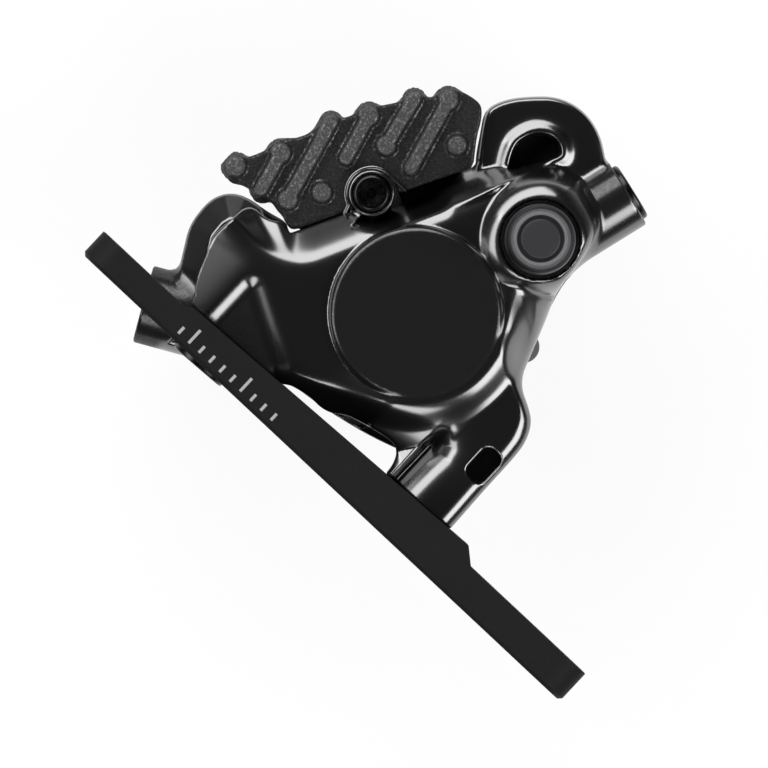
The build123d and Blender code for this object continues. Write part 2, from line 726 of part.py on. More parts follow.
# Cooling fin: a foot on the pad's back, a wall through the window and a ribbed plate outside it
with BuildPart() as outer_pad_fin:
    with BuildSketch(pad_plane(fin_front - fin_thickness)) as fin_outline:
        with BuildLine():
            Polyline(*fin_points(fin_left_shares), *fin_points(fin_outer_shares),
                     *fin_points(fin_right_shares), close=True)
        make_face()
        fillet(fin_outline.vertices(), fin_corner)
    extrude(amount=fin_thickness)
    with BuildSketch(section_plane(-fin_foot_left)):
        with BuildLine():
            Polyline((fin_foot_inward, plate_back), (fin_foot_inward, plate_back + fin_foot_thickness),
                     (fin_inner_edge, plate_back + fin_foot_thickness), (fin_inner_edge, fin_front),
                     (fin_inner_edge + fin_wall, fin_front),
                     (fin_inner_edge + fin_wall, plate_back), close=True)
        make_face()
    extrude(amount=fin_foot_left + fin_foot_right)
    with BuildSketch(pad_plane(fin_front + fin_rib_height)):
        for left, low, right, high in fin_rib_shares:
            rib_start, rib_end = fin_points([(left, low), (right, high)])
            rib_middle = (Vector(*rib_start) + Vector(*rib_end)) / 2
            SlotCenterPoint(rib_middle, rib_end, fin_rib_width)
        with Locations(*fin_points(fin_pin_shares)):
            Circle(fin_pin_radius)
    extrude(amount=-fin_rib_height, taper=-fin_draft)
    with BuildSketch(pad_plane(0)):
        with Locations(axle_place):
            Circle(notch_radius)
        with Locations((axle_place[0], axle_outward - notch_radius)):
            Rectangle(2 * notch_radius, 2 * notch_radius)
    extrude(amount=fin_front + overrun, mode=Mode.SUBTRACT)

# The same pieces behind the rotor
with BuildPart() as inner_piston:
    add(mirror(outer_piston.part, about=rotor_plane))

with BuildPart() as inner_piston_seal:
    add(mirror(outer_piston_seal.part, about=rotor_plane))

with BuildPart() as inner_pad_plate:
    add(mirror(outer_pad_plate.part, about=rotor_plane))

with BuildPart() as inner_pad_lining:
    add(mirror(outer_pad_lining.part, about=rotor_plane))

with BuildPart() as inner_pad_fin:
    add(mirror(outer_pad_fin.part, about=rotor_plane))

# Pad axle with its hex socket
with BuildPart() as pad_axle:
    with BuildSketch(pad_plane(axle_seat_depth)):
        with Locations(axle_place):
            Circle(axle_radius)
    extrude(amount=-2 * axle_seat_depth + 2 * axle_end_margin)
    with BuildSketch(pad_plane(axle_seat_depth)):
        with Locations(axle_place):
            Circle(axle_head_radius)
    extrude(amount=axle_head_length)
    with BuildSketch(pad_plane(axle_seat_depth + axle_head_length)):
        with Locations(axle_place):
            RegularPolygon(axle_socket / 2, 6, major_radius=False)
    extrude(amount=-axle_socket_depth, mode=Mode.SUBTRACT)

# Wire clip round the rim of the axle's boss
axle_front = from_pad(*axle_place)
clip_radius = axle_boss_radius + clip_wire_radius + seal_clearance
clip_depth = fin_front + pad_clearance + clip_wire_radius
clip_centre = face_plane(clip_depth).from_local_coords((*axle_front, 0))
clip_plane = Plane(origin=clip_centre, x_dir=(1, 0, 0), z_dir=towards_viewer)
with BuildPart() as axle_snap_ring:
    with BuildLine(clip_plane) as clip_path:
        Line((clip_leg_length, clip_radius), (0, clip_radius))
        arc = CenterArc((0, 0), clip_radius, 90, clip_end_angle - 90)
        hook = PolarLine(arc @ 1, clip_hook_length, clip_hook_bearing)
        PolarLine(hook @ 1, clip_tip_length, clip_tip_bearing)
    with BuildSketch(Plane(origin=clip_path.wire() @ 0, z_dir=clip_path.wire() % 0)):
        Circle(clip_wire_radius)
    sweep(transition=Transition.TRANSFORMED)

# Sheet spring that pushes the pads apart: a web over the rotor's edge and a leg on each plate
with BuildPart() as pad_spring:
    with BuildSketch(pad_plane(plate_front - contact_gap)):
        with BuildLine():
            Polyline((-spring_arm_reach, spring_arm_outward), (spring_arm_reach, spring_arm_outward),
                     (spring_arm_reach, spring_arm_outward + spring_arm_width),
                     (spring_stem_half_width, spring_arm_outward + spring_arm_width),
                     (spring_stem_half_width, spring_web_outward),
                     (spring_half_width, spring_web_outward),
                     (spring_half_width, axle_outward + spring_top_margin),
                     (-spring_half_width, axle_outward + spring_top_margin),
                     (-spring_half_width, spring_web_outward),
                     (-spring_stem_half_width, spring_web_outward),
                     (-spring_stem_half_width, spring_arm_outward + spring_arm_width),
                     (-spring_arm_reach, spring_arm_outward + spring_arm_width), close=True)
        make_face()
        with Locations(axle_place):
            Circle(axle_radius + spring_hole_clearance, mode=Mode.SUBTRACT)
    extrude(amount=-spring_sheet)
    mirror(about=rotor_plane)
    with BuildSketch(section_plane(-spring_half_width)):
        with BuildLine():
            Polyline((spring_web_outward, contact_gap - plate_front),
                     (spring_web_outward + spring_sheet, contact_gap - plate_front),
                     (spring_web_outward + spring_sheet, plate_front - contact_gap),
                     (spring_web_outward, plate_front - contact_gap), close=True)
        make_face()
    extrude(amount=2 * spring_half_width)

# Bleed nipple and the rubber cap over it
nipple_face = face_depth + bleed_boss_height
nipple_hex_corner_radius = nipple_hex / 3 ** 0.5
nipple_length = nipple_hex_height + nipple_neck_length + nipple_barb_length
with BuildPart() as bleed_nipple:
    with BuildSketch(face_plane(nipple_face)):
        with Locations(front_place(bleed_x, bleed_z)):
            Circle(nipple_thread_radius)
    extrude(amount=-nipple_thread_length)
    with BuildSketch(face_plane(nipple_face)):
        with Locations(front_place(bleed_x, bleed_z)):
            RegularPolygon(nipple_hex / 2, 6, major_radius=False)
    extrude(amount=nipple_hex_height)
    with BuildSketch(face_plane(nipple_face + nipple_hex_height)):
        with Locations(front_place(bleed_x, bleed_z)):
            Circle(nipple_neck_radius)
    extrude(amount=nipple_neck_length)
    with BuildSketch(face_plane(nipple_face + nipple_hex_height + nipple_neck_length)):
        with Locations(front_place(bleed_x, bleed_z)):
            Circle(nipple_barb_radius)
    with BuildSketch(face_plane(nipple_face + nipple_length)):
        with Locations(front_place(bleed_x, bleed_z)):
            Circle(nipple_neck_radius)
    loft()
    with BuildSketch(face_plane(nipple_face + nipple_length)):
        with Locations(front_place(bleed_x, bleed_z)):
            Circle(nipple_bore_radius)
    extrude(amount=-nipple_length - nipple_thread_length, mode=Mode.SUBTRACT)

cap_length = nipple_length + cap_neck_clearance + cap_top
with BuildPart() as bleed_cap:
    with BuildSketch(face_plane(nipple_face + contact_gap)):
        with Locations(front_place(bleed_x, bleed_z)):
            Circle(cap_skirt_radius)
    extrude(amount=cap_skirt_height)
    with BuildSketch(face_plane(nipple_face + contact_gap)):
        with Locations(front_place(bleed_x, bleed_z)):
            Circle(cap_radius)
    extrude(amount=cap_length)
    fillet(bleed_cap.faces().sort_by(Axis.Y)[0].edges(), cap_round)
    with BuildSketch(face_plane(nipple_face + contact_gap + cap_length)):
        with Locations(front_place(bleed_x, bleed_z)):
            Circle(cap_groove_radius)
            Circle(cap_groove_radius - cap_groove_width, mode=Mode.SUBTRACT)
    extrude(amount=-cap_groove_depth, mode=Mode.SUBTRACT)
    with BuildSketch(face_plane(nipple_face)):
        with Locations(front_place(bleed_x, bleed_z)):
            Circle(nipple_hex_corner_radius + cap_clearance)
    extrude(amount=nipple_hex_height + cap_neck_clearance, mode=Mode.SUBTRACT)
    with BuildSketch(face_plane(nipple_face)):
        with Locations(front_place(bleed_x, bleed_z)):
            Circle(nipple_barb_radius + cap_neck_clearance)
    extrude(amount=nipple_length + cap_neck_clearance, mode=Mode.SUBTRACT)

# Plug of the fluid gallery and its seal, in the slanted boss
with BuildPart() as gallery_plug:
    with BuildSketch(plug_plane):
        Circle(plug_thread_radius)
    extrude(amount=-plug_thread_length)
    with BuildSketch(plug_plane):
        Circle(plug_head_radius)
    extrude(amount=plug_head_height)
    plug_top = gallery_plug.faces().sort_by(Axis(plug_plane.origin, plug_plane.z_dir))[-1]
    fillet(plug_top.edges(), plug_head_round)
    with BuildSketch(plug_plane.offset(plug_head_height)):
        RegularPolygon(plug_socket / 2, 6, major_radius=False)
    extrude(amount=-plug_socket_depth, mode=Mode.SUBTRACT)

with BuildPart() as gallery_plug_seal:
    with BuildSketch(plug_plane):
        Circle(plug_seal_radius)
        Circle(plug_thread_radius + seal_clearance, mode=Mode.SUBTRACT)
    extrude(amount=-plug_seal_thickness)

for piece, name in [
    (outer_body_half, "outer_body_half"),
    (inner_body_half, "inner_body_half"),
    (body_bolts, "body_bolts"),
    (crossover_seal, "crossover_seal"),
    (mount_bracket, "mount_bracket"),
    (caliper_fixing_bolts, "caliper_fixing_bolts"),
    (outer_piston, "outer_piston"),
    (inner_piston, "inner_piston"),
    (outer_piston_seal, "outer_piston_seal"),
    (inner_piston_seal, "inner_piston_seal"),
    (outer_pad_plate, "outer_pad_plate"),
    (inner_pad_plate, "inner_pad_plate"),
    (outer_pad_lining, "outer_pad_lining"),
    (inner_pad_lining, "inner_pad_lining"),
    (outer_pad_fin, "outer_pad_fin"),
    (inner_pad_fin, "inner_pad_fin"),
    (pad_axle, "pad_axle"),
    (axle_snap_ring, "axle_snap_ring"),
    (pad_spring, "pad_spring"),
    (bleed_nipple, "bleed_nipple"),
    (bleed_cap, "bleed_cap"),
    (gallery_plug, "gallery_plug"),
    (gallery_plug_seal, "gallery_plug_seal"),
]:
    piece.part.label = name
    export_step(piece.part, f"parts/{name}.step")
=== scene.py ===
# %% [markdown]
# # A bicycle disc brake caliper
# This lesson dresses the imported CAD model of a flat-mount brake caliper for a studio picture.
# The CAD parts arrive as one fixed frame. Sizes are thought of in millimetres and turned into
# metres only where a mesh is made, because Blender's scene here is in metres.

# %% Load the frame
import math

import bmesh
import bpy
import numpy as np
from mathutils import Matrix, Vector


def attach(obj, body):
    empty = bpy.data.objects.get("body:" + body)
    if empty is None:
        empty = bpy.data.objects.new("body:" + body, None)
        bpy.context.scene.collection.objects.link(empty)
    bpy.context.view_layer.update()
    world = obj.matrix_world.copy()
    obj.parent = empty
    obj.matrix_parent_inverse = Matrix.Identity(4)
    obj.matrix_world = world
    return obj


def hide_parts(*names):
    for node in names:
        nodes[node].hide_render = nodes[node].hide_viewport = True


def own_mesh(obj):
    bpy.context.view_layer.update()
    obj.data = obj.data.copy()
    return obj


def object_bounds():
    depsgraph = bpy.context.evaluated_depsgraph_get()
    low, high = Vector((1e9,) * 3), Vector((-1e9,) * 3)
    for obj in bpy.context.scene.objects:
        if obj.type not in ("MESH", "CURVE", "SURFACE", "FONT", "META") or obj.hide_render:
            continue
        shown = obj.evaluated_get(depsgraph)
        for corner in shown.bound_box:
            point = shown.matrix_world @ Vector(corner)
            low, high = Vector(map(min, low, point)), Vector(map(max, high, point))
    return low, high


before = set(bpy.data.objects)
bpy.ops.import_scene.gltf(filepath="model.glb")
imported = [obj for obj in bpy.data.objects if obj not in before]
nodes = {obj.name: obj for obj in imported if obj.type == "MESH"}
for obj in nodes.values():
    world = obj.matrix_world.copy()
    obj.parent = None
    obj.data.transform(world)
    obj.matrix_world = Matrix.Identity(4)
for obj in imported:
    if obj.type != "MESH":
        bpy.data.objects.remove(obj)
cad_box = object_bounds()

MM = 0.001

# %% [markdown]
# # Where things are
# The rotor runs midway between the two body halves, so depths are counted from its plane.
# The pads face the rotor's centre along a slanted line. The slant gives two handy directions:
# one across the pad and one outward from the rotor's centre.

# %% Places on the caliper, in millimetres
rotor_y = 12.0
piston_x, piston_z = -5.6, 25.0
rotor_x, rotor_z = 54.36, -4.90
bleed_x, bleed_z = -0.2, 43.7
outward_x, outward_z = -0.8949, 0.4462
axle_out = 17.35
axle_x = piston_x + axle_out * outward_x
axle_z = piston_z + axle_out * outward_z
seat_height, seat_slope = 6.1, math.radians(2.3)


def across_and_out(x, z):
    """Places measured from the piston's centre, across the pad and outward from the rotor."""
    dx, dz = x - piston_x, z - piston_z
    return outward_z * dx - outward_x * dz, outward_x * dx + outward_z * dz


print("pad axle at", round(axle_x, 2), round(axle_z, 2))

# %% [markdown]
# # Thinking in distances
# A cast body is soft and rounded, with fillets wherever two forms meet. Modelling that by hand
# takes many loops of edges. Here each form is a distance: a number that is negative inside and
# positive outside. Two distances join with a fillet or cut with a rounded edge of a known radius.

# %% Joining and cutting with round edges
def fillet_join(a, b, r):
    """The union of two forms, with a fillet of radius r in the corner between them."""
    u, v = np.maximum(r - a, 0), np.maximum(r - b, 0)
    return np.maximum(r, np.minimum(a, b)) - np.sqrt(u * u + v * v)


def round_cut(a, b, r):
    """What two forms share, with its outer edge rounded to radius r."""
    u, v = np.maximum(r + a, 0), np.maximum(r + b, 0)
    return np.minimum(-r, np.maximum(a, b)) + np.sqrt(u * u + v * v)


def carve(form, hole, r):
    """The form with a hole taken out of it, its rim rounded to radius r."""
    return round_cut(form, -hole, r)


def soft_peak(a, b, width):
    """The higher of two heights, with a soft crease this wide between them."""
    h = np.clip(0.5 + 0.5 * (a - b) / width, 0, 1)
    return b * (1 - h) + a * h + width * h * (1 - h)


def blend_step(value, start, end):
    t = np.clip((value - start) / (end - start), 0, 1)
    return t * t * (3 - 2 * t)


# %% [markdown]
# # Outlines
# Seen from the side of the bicycle, each half has an outline. A short list of corners is enough,
# because cutting every corner off three times turns a coarse outline into a smooth one.
# A corner that has to stay sharp is simply written twice.

# %% Outlines and their distances
plan_step = 0.1
plan_x = np.arange(-40, 21, plan_step)
plan_z = np.arange(-8, 64, plan_step)
plan_grid_x, plan_grid_z = np.meshgrid(plan_x, plan_z, indexing="ij")


def smooth_corners(points, times=3, closed=True):
    line = np.array(points, float)
    before, after = line - np.roll(line, 1, 0), line - np.roll(line, -1, 0)
    back, on = np.hypot(*before.T)[:, None], np.hypot(*after.T)[:, None]
    near = np.minimum(back, on)
    push = near * (before / np.maximum(back, 1e-6) + after / np.maximum(on, 1e-6)) / 8
    if not closed:
        push[[0, -1]] = 0
    line = line + push
    for _ in range(times):
        after = np.roll(line, -1, 0) if closed else line[1:]
        before = line if closed else line[:-1]
        pair = np.stack([0.75 * before + 0.25 * after, 0.25 * before + 0.75 * after], 1).reshape(-1, 2)
        line = pair if closed else np.vstack([line[:1], pair, line[-1:]])
    keep = np.linalg.norm(line - np.roll(line, 1, 0), axis=1) > 1e-6
    return line[keep]


def line_distance(line, closed=True):
    """Distance to a line over the whole plan, and which side of it each place is on."""
    gx, gz = plan_grid_x, plan_grid_z
    best = np.full(gx.shape, 1e9)
    side = np.zeros(gx.shape)
    ends = np.roll(line, -1, 0) if closed else line[1:]
    for (ax, az), (bx, bz) in zip(line, ends):
        ex, ez = bx - ax, bz - az
        t = np.clip(((gx - ax) * ex + (gz - az) * ez) / (ex * ex + ez * ez), 0, 1)
        px, pz = gx - ax - t * ex, gz - az - t * ez
        near = px * px + pz * pz
        turn = ex * (gz - az) - ez * (gx - ax)
        closer = near < best - 1e-9
        best = np.where(closer, near, best)
        side = np.where(closer, np.sign(turn), side)
    return np.sqrt(best), side


def outline_distance(points, times=3):
    """Signed distance to a closed outline over the plan, negative inside."""
    line = smooth_corners(points, times) if times else np.array(points, float)
    distance, _ = line_distance(line)
    gx, gz = plan_grid_x, plan_grid_z
    inside = np.zeros(gx.shape, bool)
    for (ax, az), (bx, bz) in zip(line, np.roll(line, -1, 0)):
        crosses = (az > gz) != (bz > gz)
        if az != bz:
            inside ^= crosses & (gx < (bx - ax) * (gz - az) / (bz - az) + ax)
    return np.where(inside, -distance, distance)


def path_distance(points, times=3):
    """Signed distance to an open line over the plan, positive on its left side."""
    distance, side = line_distance(smooth_corners(points, times, closed=False), closed=False)
    return distance * side


def read_plan(plan, x, z):
    """Reads a plan at any places, between its grid points too."""
    u = np.clip((x - plan_x[0]) / plan_step, 0, len(plan_x) - 1.001)
    v = np.clip((z - plan_z[0]) / plan_step, 0, len(plan_z) - 1.001)
    i, j = u.astype(int), v.astype(int)
    fu, fv = u - i, v - j
    low = plan[i, j] * (1 - fu) + plan[i + 1, j] * fu
    high = plan[i, j + 1] * (1 - fu) + plan[i + 1, j + 1] * fu
    return low * (1 - fv) + high * fv


def soften(plan, radius):
    """Blurs a plan by about a radius, to take the hardness out of its creases."""
    reach = max(1, int(round(radius / plan_step)))
    weights = np.hanning(2 * reach + 3)[1:-1]
    weights /= weights.sum()
    for axis in (0, 1):
        padded = np.pad(plan, [(reach, reach) if a == axis else (0, 0) for a in (0, 1)], mode="edge")
        span = np.arange(plan.shape[axis])
        plan = sum(weight * np.take(padded, span + k, axis) for k, weight in enumerate(weights))
    return plan


def lean_of(plan):
    """How much a height's slope stretches distances, as a factor below 1."""
    gx, gz = np.gradient(plan, plan_step)
    return 1 / np.sqrt(1 + gx * gx + gz * gz)


print("plan of", len(plan_x), "by", len(plan_z), "places")

# %% [markdown]
# # From a distance to a mesh
# The surface is where the distance is zero. Surface nets find it on a grid: each grid cell that
# the surface passes gets one vertex, and neighbouring cells join into quads. The vertices then
# slide onto the exact surface, and the distance's slope gives each one its true normal, so gloss
# runs over the form without a ripple.

# %% Casting a form into a mesh
cell_corners = np.array([(i, j, k) for i in (0, 1) for j in (0, 1) for k in (0, 1)])
cell_edges = [(a, b) for a in range(8) for b in range(a + 1, 8)
              if np.abs(cell_corners[a] - cell_corners[b]).sum() == 1]


def relax(points, quads):
    """Moves each vertex to the middle of its neighbours, which evens out the mesh."""
    total, count = np.zeros_like(points), np.zeros(len(points))
    for k in range(4):
        one, two = quads[:, k], quads[:, (k + 1) % 4]
        for a, b in ((one, two), (two, one)):
            count += np.bincount(a, minlength=len(points))
            for axis in range(3):
                total[:, axis] += np.bincount(a, weights=points[b, axis], minlength=len(points))
    return total / np.maximum(count, 1)[:, None]


def form_slope(form, points, reach=0.09):
    slope = np.empty_like(points)
    for axis in range(3):
        shift = np.zeros(3)
        shift[axis] = reach
        slope[:, axis] = (form(*(points + shift).T) - form(*(points - shift).T)) / (2 * reach)
    return slope


def cast(name, form, low, high, step):
    """Makes a mesh object of the surface of a form inside a box, all in millimetres."""
    low = np.array(low, float)
    sides = [np.arange(a, b + step, step) for a, b in zip(low, high)]
    values = form(*np.meshgrid(*sides, indexing="ij"))
    inside = values < 0
    si, sj, sk = (size - 1 for size in inside.shape)
    full = sum(inside[i:si + i, j:sj + j, k:sk + k].astype(int) for i, j, k in cell_corners)
    cells = np.argwhere((full > 0) & (full < 8))
    at = cells[:, None, :] + cell_corners[None]
    v = values[at[..., 0], at[..., 1], at[..., 2]]
    total, count = np.zeros((len(cells), 3)), np.zeros(len(cells))
    for a, b in cell_edges:
        cross = (v[:, a] < 0) != (v[:, b] < 0)
        t = np.where(cross, v[:, a] / np.where(cross, v[:, a] - v[:, b], 1), 0)
        total += cross[:, None] * (cell_corners[a] + t[:, None] * (cell_corners[b] - cell_corners[a]))
        count += cross
    points = low + step * (cells + total / count[:, None])
    number = np.full(full.shape, -1)
    number[tuple(cells.T)] = np.arange(len(cells))
    quads = []
    for axis in range(3):
        one, two = (axis + 1) % 3, (axis + 2) % 3
        first = np.take(inside, range(inside.shape[axis] - 1), axis)
        second = np.take(inside, range(1, inside.shape[axis]), axis)
        spots = np.argwhere(first != second)
        room = (spots[:, one] > 0) & (spots[:, two] > 0)
        room &= (spots[:, one] < inside.shape[one] - 1) & (spots[:, two] < inside.shape[two] - 1)
        spots = spots[room]
        ring = []
        for back_one, back_two in ((1, 1), (0, 1), (0, 0), (1, 0)):
            cell = spots.copy()
            cell[:, one] -= back_one
            cell[:, two] -= back_two
            ring.append(number[tuple(cell.T)])
        quad = np.stack(ring, 1)
        outwards = first[tuple(spots.T)]
        quads.append(np.where(outwards[:, None], quad, quad[:, ::-1]))
    quads = np.vstack(quads)
    for turn in range(6):
        if turn < 3:
            points = 0.4 * points + 0.6 * relax(points, quads)
        slope = form_slope(form, points)
        steep = np.maximum((slope * slope).sum(1), 0.05)
        move = slope * (form(*points.T) / steep)[:, None]
        far = np.linalg.norm(move, axis=1, keepdims=True)
        points -= move * np.minimum(1, 0.4 * step / np.maximum(far, 1e-9))
    normals = form_slope(form, points)
    normals /= np.maximum(np.linalg.norm(normals, axis=1, keepdims=True), 1e-9)
    mesh = bpy.data.meshes.new(name)
    mesh.vertices.add(len(points))
    mesh.vertices.foreach_set("co", (points * MM).astype(np.float32).ravel())
    mesh.loops.add(quads.size)
    mesh.loops.foreach_set("vertex_index", quads.astype(np.int32).ravel())
    mesh.polygons.add(len(quads))
    mesh.polygons.foreach_set("loop_start", np.arange(0, quads.size, 4, dtype=np.int32))
    mesh.update(calc_edges=True)
    mesh.validate()
    mesh.polygons.foreach_set("use_smooth", np.ones(len(mesh.polygons), bool))
    mesh.normals_split_custom_set_from_vertices([tuple(n) for n in normals])
    piece = bpy.data.objects.new(name, mesh)
    bpy.context.scene.collection.objects.link(piece)
    print(f"{name}: {len(points)} vertices, {2 * len(quads)} triangles")
    return piece


fine = 1.0

# %% [markdown]
# # Forms shared by both halves
# Both halves are cut by the rotor's slot, the pad's pocket and the cylinder, and each carries a
# boss for the pad axle. Depth runs from the rotor's plane to either side, so one function cuts both.

# %% Rotor slot, pad pocket, cylinder
rotor_edge, rotor_half_gap = 82.0, 2.5
pad_half_room, pad_inner_room, pad_depth = 14.6, 11.8, 5.3
foot_left, foot_right, foot_start, foot_depth = -10.9, 12.7, 11.8, 7.1
bore_radius, bore_depth = 11.05, 15.0
disc_radius, disc_low, disc_high = 11.8, 12.0, 18.5
axle_boss_radius, axle_bore_radius = 3.15, 2.05
machined_edge, drilled_edge = 0.3, 0.1


def box_distance(u, low, high):
    return np.maximum(low - u, u - high)


def cut_room(body, x, z, depth):
    """Cuts room for the rotor, the pad and the fin's foot from a half."""
    across, out = across_and_out(x, z)
    rotor = np.maximum(np.hypot(x - rotor_x, z - rotor_z) - rotor_edge, depth - rotor_half_gap)
    pocket = np.maximum(np.maximum(np.abs(across) - pad_half_room, -pad_inner_room - out), depth - pad_depth)
    foot = np.maximum(box_distance(across, foot_left, foot_right), foot_start - out)
    for room in (rotor, pocket, np.maximum(foot, depth - foot_depth)):
        body = carve(body, room, machined_edge)
    return body


def axle_boss(body, x, z, depth, top):
    """The round boss beside the window that holds the pad axle."""
    across, out = across_and_out(x, z)
    around = np.hypot(across, out - axle_out)
    boss = round_cut(around - axle_boss_radius, box_distance(depth, pad_depth, top), 0.35)
    return fillet_join(body, boss, 0.7), around


def cylinder_bore(body, x, z, depth):
    around = np.hypot(x - piston_x, z - piston_z)
    return carve(body, np.maximum(around - bore_radius, depth - bore_depth), machined_edge)


def piston_disc(x, z, depth, edge):
    """The round disc that closes the cylinder and stands proud of the face."""
    around = np.hypot(x - piston_x, z - piston_z)
    return round_cut(around - disc_radius, box_distance(depth, disc_low, disc_high), edge)


print("cylinder", 2 * bore_radius, "mm wide, rotor slot", 2 * rotor_half_gap, "mm wide")

# %% [markdown]
# # Outer body half: heights of its face
# The face towards the camera works like a landscape: a flat top round the piston's disc, a sharp
# ridge, a long slope to the pad window, an arch and a cone under the bleed cap. Each is a height
# over the plan, and the highest wins with a soft crease between them.

# %% Outlines of the outer half
arch_back = [(-1.5, 58.1), (-3.6, 59.5), (-5.8, 60.3), (-8.0, 60.5), (-10.2, 60.1), (-12.2, 59.1),
             (-14.2, 57.3), (-16.2, 55.0)]
arch_side = [(-17.4, 52.6), (-17.3, 51.0)]
window_side = [(-16.3, 49.4), (-14.5, 46.5), (-13.5, 45.1), (-14.8, 42.6), (-25.4, 21.4)]
outer_outline = [(-32.0, 20.1), (-32.5, 17.0), (-32.8, 13.8), (-31.6, 11.2), (-30.5, 8.2), (-28.7, 5.4),
                 (-28.3, 2.0), (-28.3, 2.0), (-12.5, 2.0), (-12.5, 2.0), (-12.3, 5.6), (-8.8, 6.8),
                 (-5.4, 7.0), (-3.0, 8.5), (-1.0, 9.1), (1.0, 9.6), (4.0, 10.1), (5.2, 9.5), (5.9, 8.3),
                 (6.2, 6.6), (6.2, 2.0), (6.2, 2.0), (17.8, 2.0), (17.8, 2.0), (17.7, 8.0), (17.5, 14.0),
                 (17.4, 20.0), (17.0, 22.6), (15.8, 24.9), (14.0, 26.2), (12.0, 27.3), (10.7, 28.8),
                 (10.0, 30.5), (8.9, 33.5), (7.8, 36.5), (6.7, 39.2), (6.1, 41.4), (5.9, 44.0), (5.2, 48.0),
                 (3.4, 52.0), (1.2, 55.4)]
outer_outline += arch_back + arch_side + window_side + [(-25.6, 21.2), (-27.2, 21.6), (-28.8, 20.6)]
arch_foot = [(-14.5, 46.5), (-13.5, 45.1), (-10.5, 41.0), (0.0, 47.0), (3.4, 55.0)]
arch_outline = arch_side + arch_foot + arch_back
ridge_line = [(-36.0, 17.6), (-32.0, 17.4), (-28.2, 17.3), (-25.3, 17.7), (-22.8, 18.7), (-21.2, 20.3),
              (-19.8, 23.0), (-18.0, 26.8), (-16.5, 30.0), (-13.5, 36.0), (-11.1, 41.1), (-8.8, 46.7),
              (-6.0, 53.2), (-3.2, 59.6)]
lower_crease = [(-34.0, 4.4), (-15.2, 4.4), (-14.3, 6.3), (-14.3, 6.3), (8.6, 16.7), (8.6, 16.7),
                (10.4, 14.4), (10.3, 10.0), (10.2, 2.0)]
arch_pocket = [(-11.4, 50.8), (-11.2, 52.4), (-10.5, 53.9), (-9.2, 54.9), (-7.6, 55.2), (-6.3, 54.6),
               (-5.9, 53.7), (-9.5, 47.8), (-10.2, 48.2)]
foot_pocket = [(-24.0, 12.0), (-24.0, 12.0), (-24.0, 2.0), (-24.0, 2.0), (-13.6, 2.0), (-13.6, 2.0),
               (-14.8, 6.9), (-14.8, 6.9)]
outer_wall = outline_distance(outer_outline, 2)
ridge = path_distance(ridge_line)
crease = -path_distance(lower_crease, 1)
print("outer outline of", len(outer_outline), "corners")

# %% [markdown]
# # Outer body half: the landscape
# On the real casting every crease has its own radius: it is tight at the ridge and wide at the foot.
# A subdivided cage could do that with many edge loops. Here each slope is one line that names how
# steep it is and how softly it starts, so that a highlight can be moved by one number.

# %% Heights of the outer half's face
gx, gz = plan_grid_x, plan_grid_z
plan_across = across_and_out(gx, gz)[0]
disc_distance = np.hypot(gx - piston_x, gz - piston_z)
bleed_distance = np.hypot(gx - bleed_x, gz - bleed_z)
face_depth, arch_depth, cone_top, cone_radius = 17.0, 11.2, 18.8, 6.0


def soft_slope(distance, steepness, width):
    """A drop that starts softly where the distance turns positive."""
    return steepness * 0.5 * (distance + np.sqrt(distance * distance + width * width))


# Towards the foot the face rises, but for a hollow beside the disc
towards_foot = blend_step(0.95 * (gx - piston_x) - 0.3 * (gz - piston_z), 0, 11)
face = face_depth + 1.5 * towards_foot - 2.05 * towards_foot * blend_step(disc_distance, 12.1, 16.2)
# It falls towards the arch and towards its left end
face = face - 5.0 * blend_step(plan_across, 14, 26) - 3.0 * blend_step(plan_across, 24.5, 27)
face = face - soft_slope(-(gx + 26.6), 0.25, 1.2) * blend_step(-gz, -17.5, -13.5)
# A narrow rib runs along the ridge, and beyond it lies the slope to the pad window
rib = 0.1 + 0.5 * blend_step(plan_across, 8, 16)
rib = rib * blend_step(plan_across, -2, 6) * blend_step(-plan_across, -25.5, -23.5)
face = face + rib * np.exp(-((ridge + 0.1) / 0.55) ** 2)
window_fall = 0.93 + 1.07 * blend_step(plan_across, -4, 1) + 0.7 * blend_step(-plan_across, 13, 17)
face = face - soft_slope(ridge, 1.0, 1.05) * window_fall
# Below the crease the underside falls away, gently in its middle
underside_width = 0.6 + 1.0 * blend_step(gx, 7.6, 10.2)
underside_fall = 1.5 - 1.03 * blend_step(gx, -0.6, 0.8) * blend_step(-gx, -8.2, -6.8)
face = face - soft_slope(crease, 1.0, underside_width) * underside_fall
# The cast pocket in the left foot is shallow
face = face - 0.72 * (1 - blend_step(outline_distance(foot_pocket, 1), 0.0, 2.5))

arch_edge = outline_distance(arch_outline, 2)
arch_pocket_edge = outline_distance(arch_pocket, 2)
arch_bead = 0.8 * np.exp(-(np.maximum(arch_pocket_edge - 0.35, 0) / 1.05) ** 2)
arch = arch_depth + arch_bead - soft_slope(arch_edge, 6.0, 0.2)
# The cone under the cap is steeper on the side of the plug's boss
away = ((gx - bleed_x) * 0.9 + (gz - bleed_z) * 0.1) / np.maximum(bleed_distance, 0.1)
flank = 0.55 + 0.6 * blend_step(away, -0.3, 0.3)
cone = cone_top - soft_slope(bleed_distance - cone_radius, 1.0, 0.5) * flank
cone = cone - soft_slope(bleed_distance - cone_radius - 1.8, 2.0, 0.8)
outer_height = soften(soft_peak(soft_peak(face, arch, 0.8), cone, 1.0), 0.2)
outer_lean = lean_of(outer_height)

# The face's outer edge has its widest round beside the disc
outer_round = 1.2 + 5.2 * blend_step(gz, 25, 32) * blend_step(-gz, -42, -37) + 1.1 * blend_step(gx, 12, 16)
outer_round = np.where(gx < -20, 0.35, outer_round) - 0.5 * blend_step(gz, 46, 49)
outer_round = outer_round - 0.8 * blend_step(-gz, -13, -11.5) * blend_step(-gx, -7, -5.5)
print("face from", round(float(outer_height.min()), 1), "to", round(float(outer_height.max()), 1))

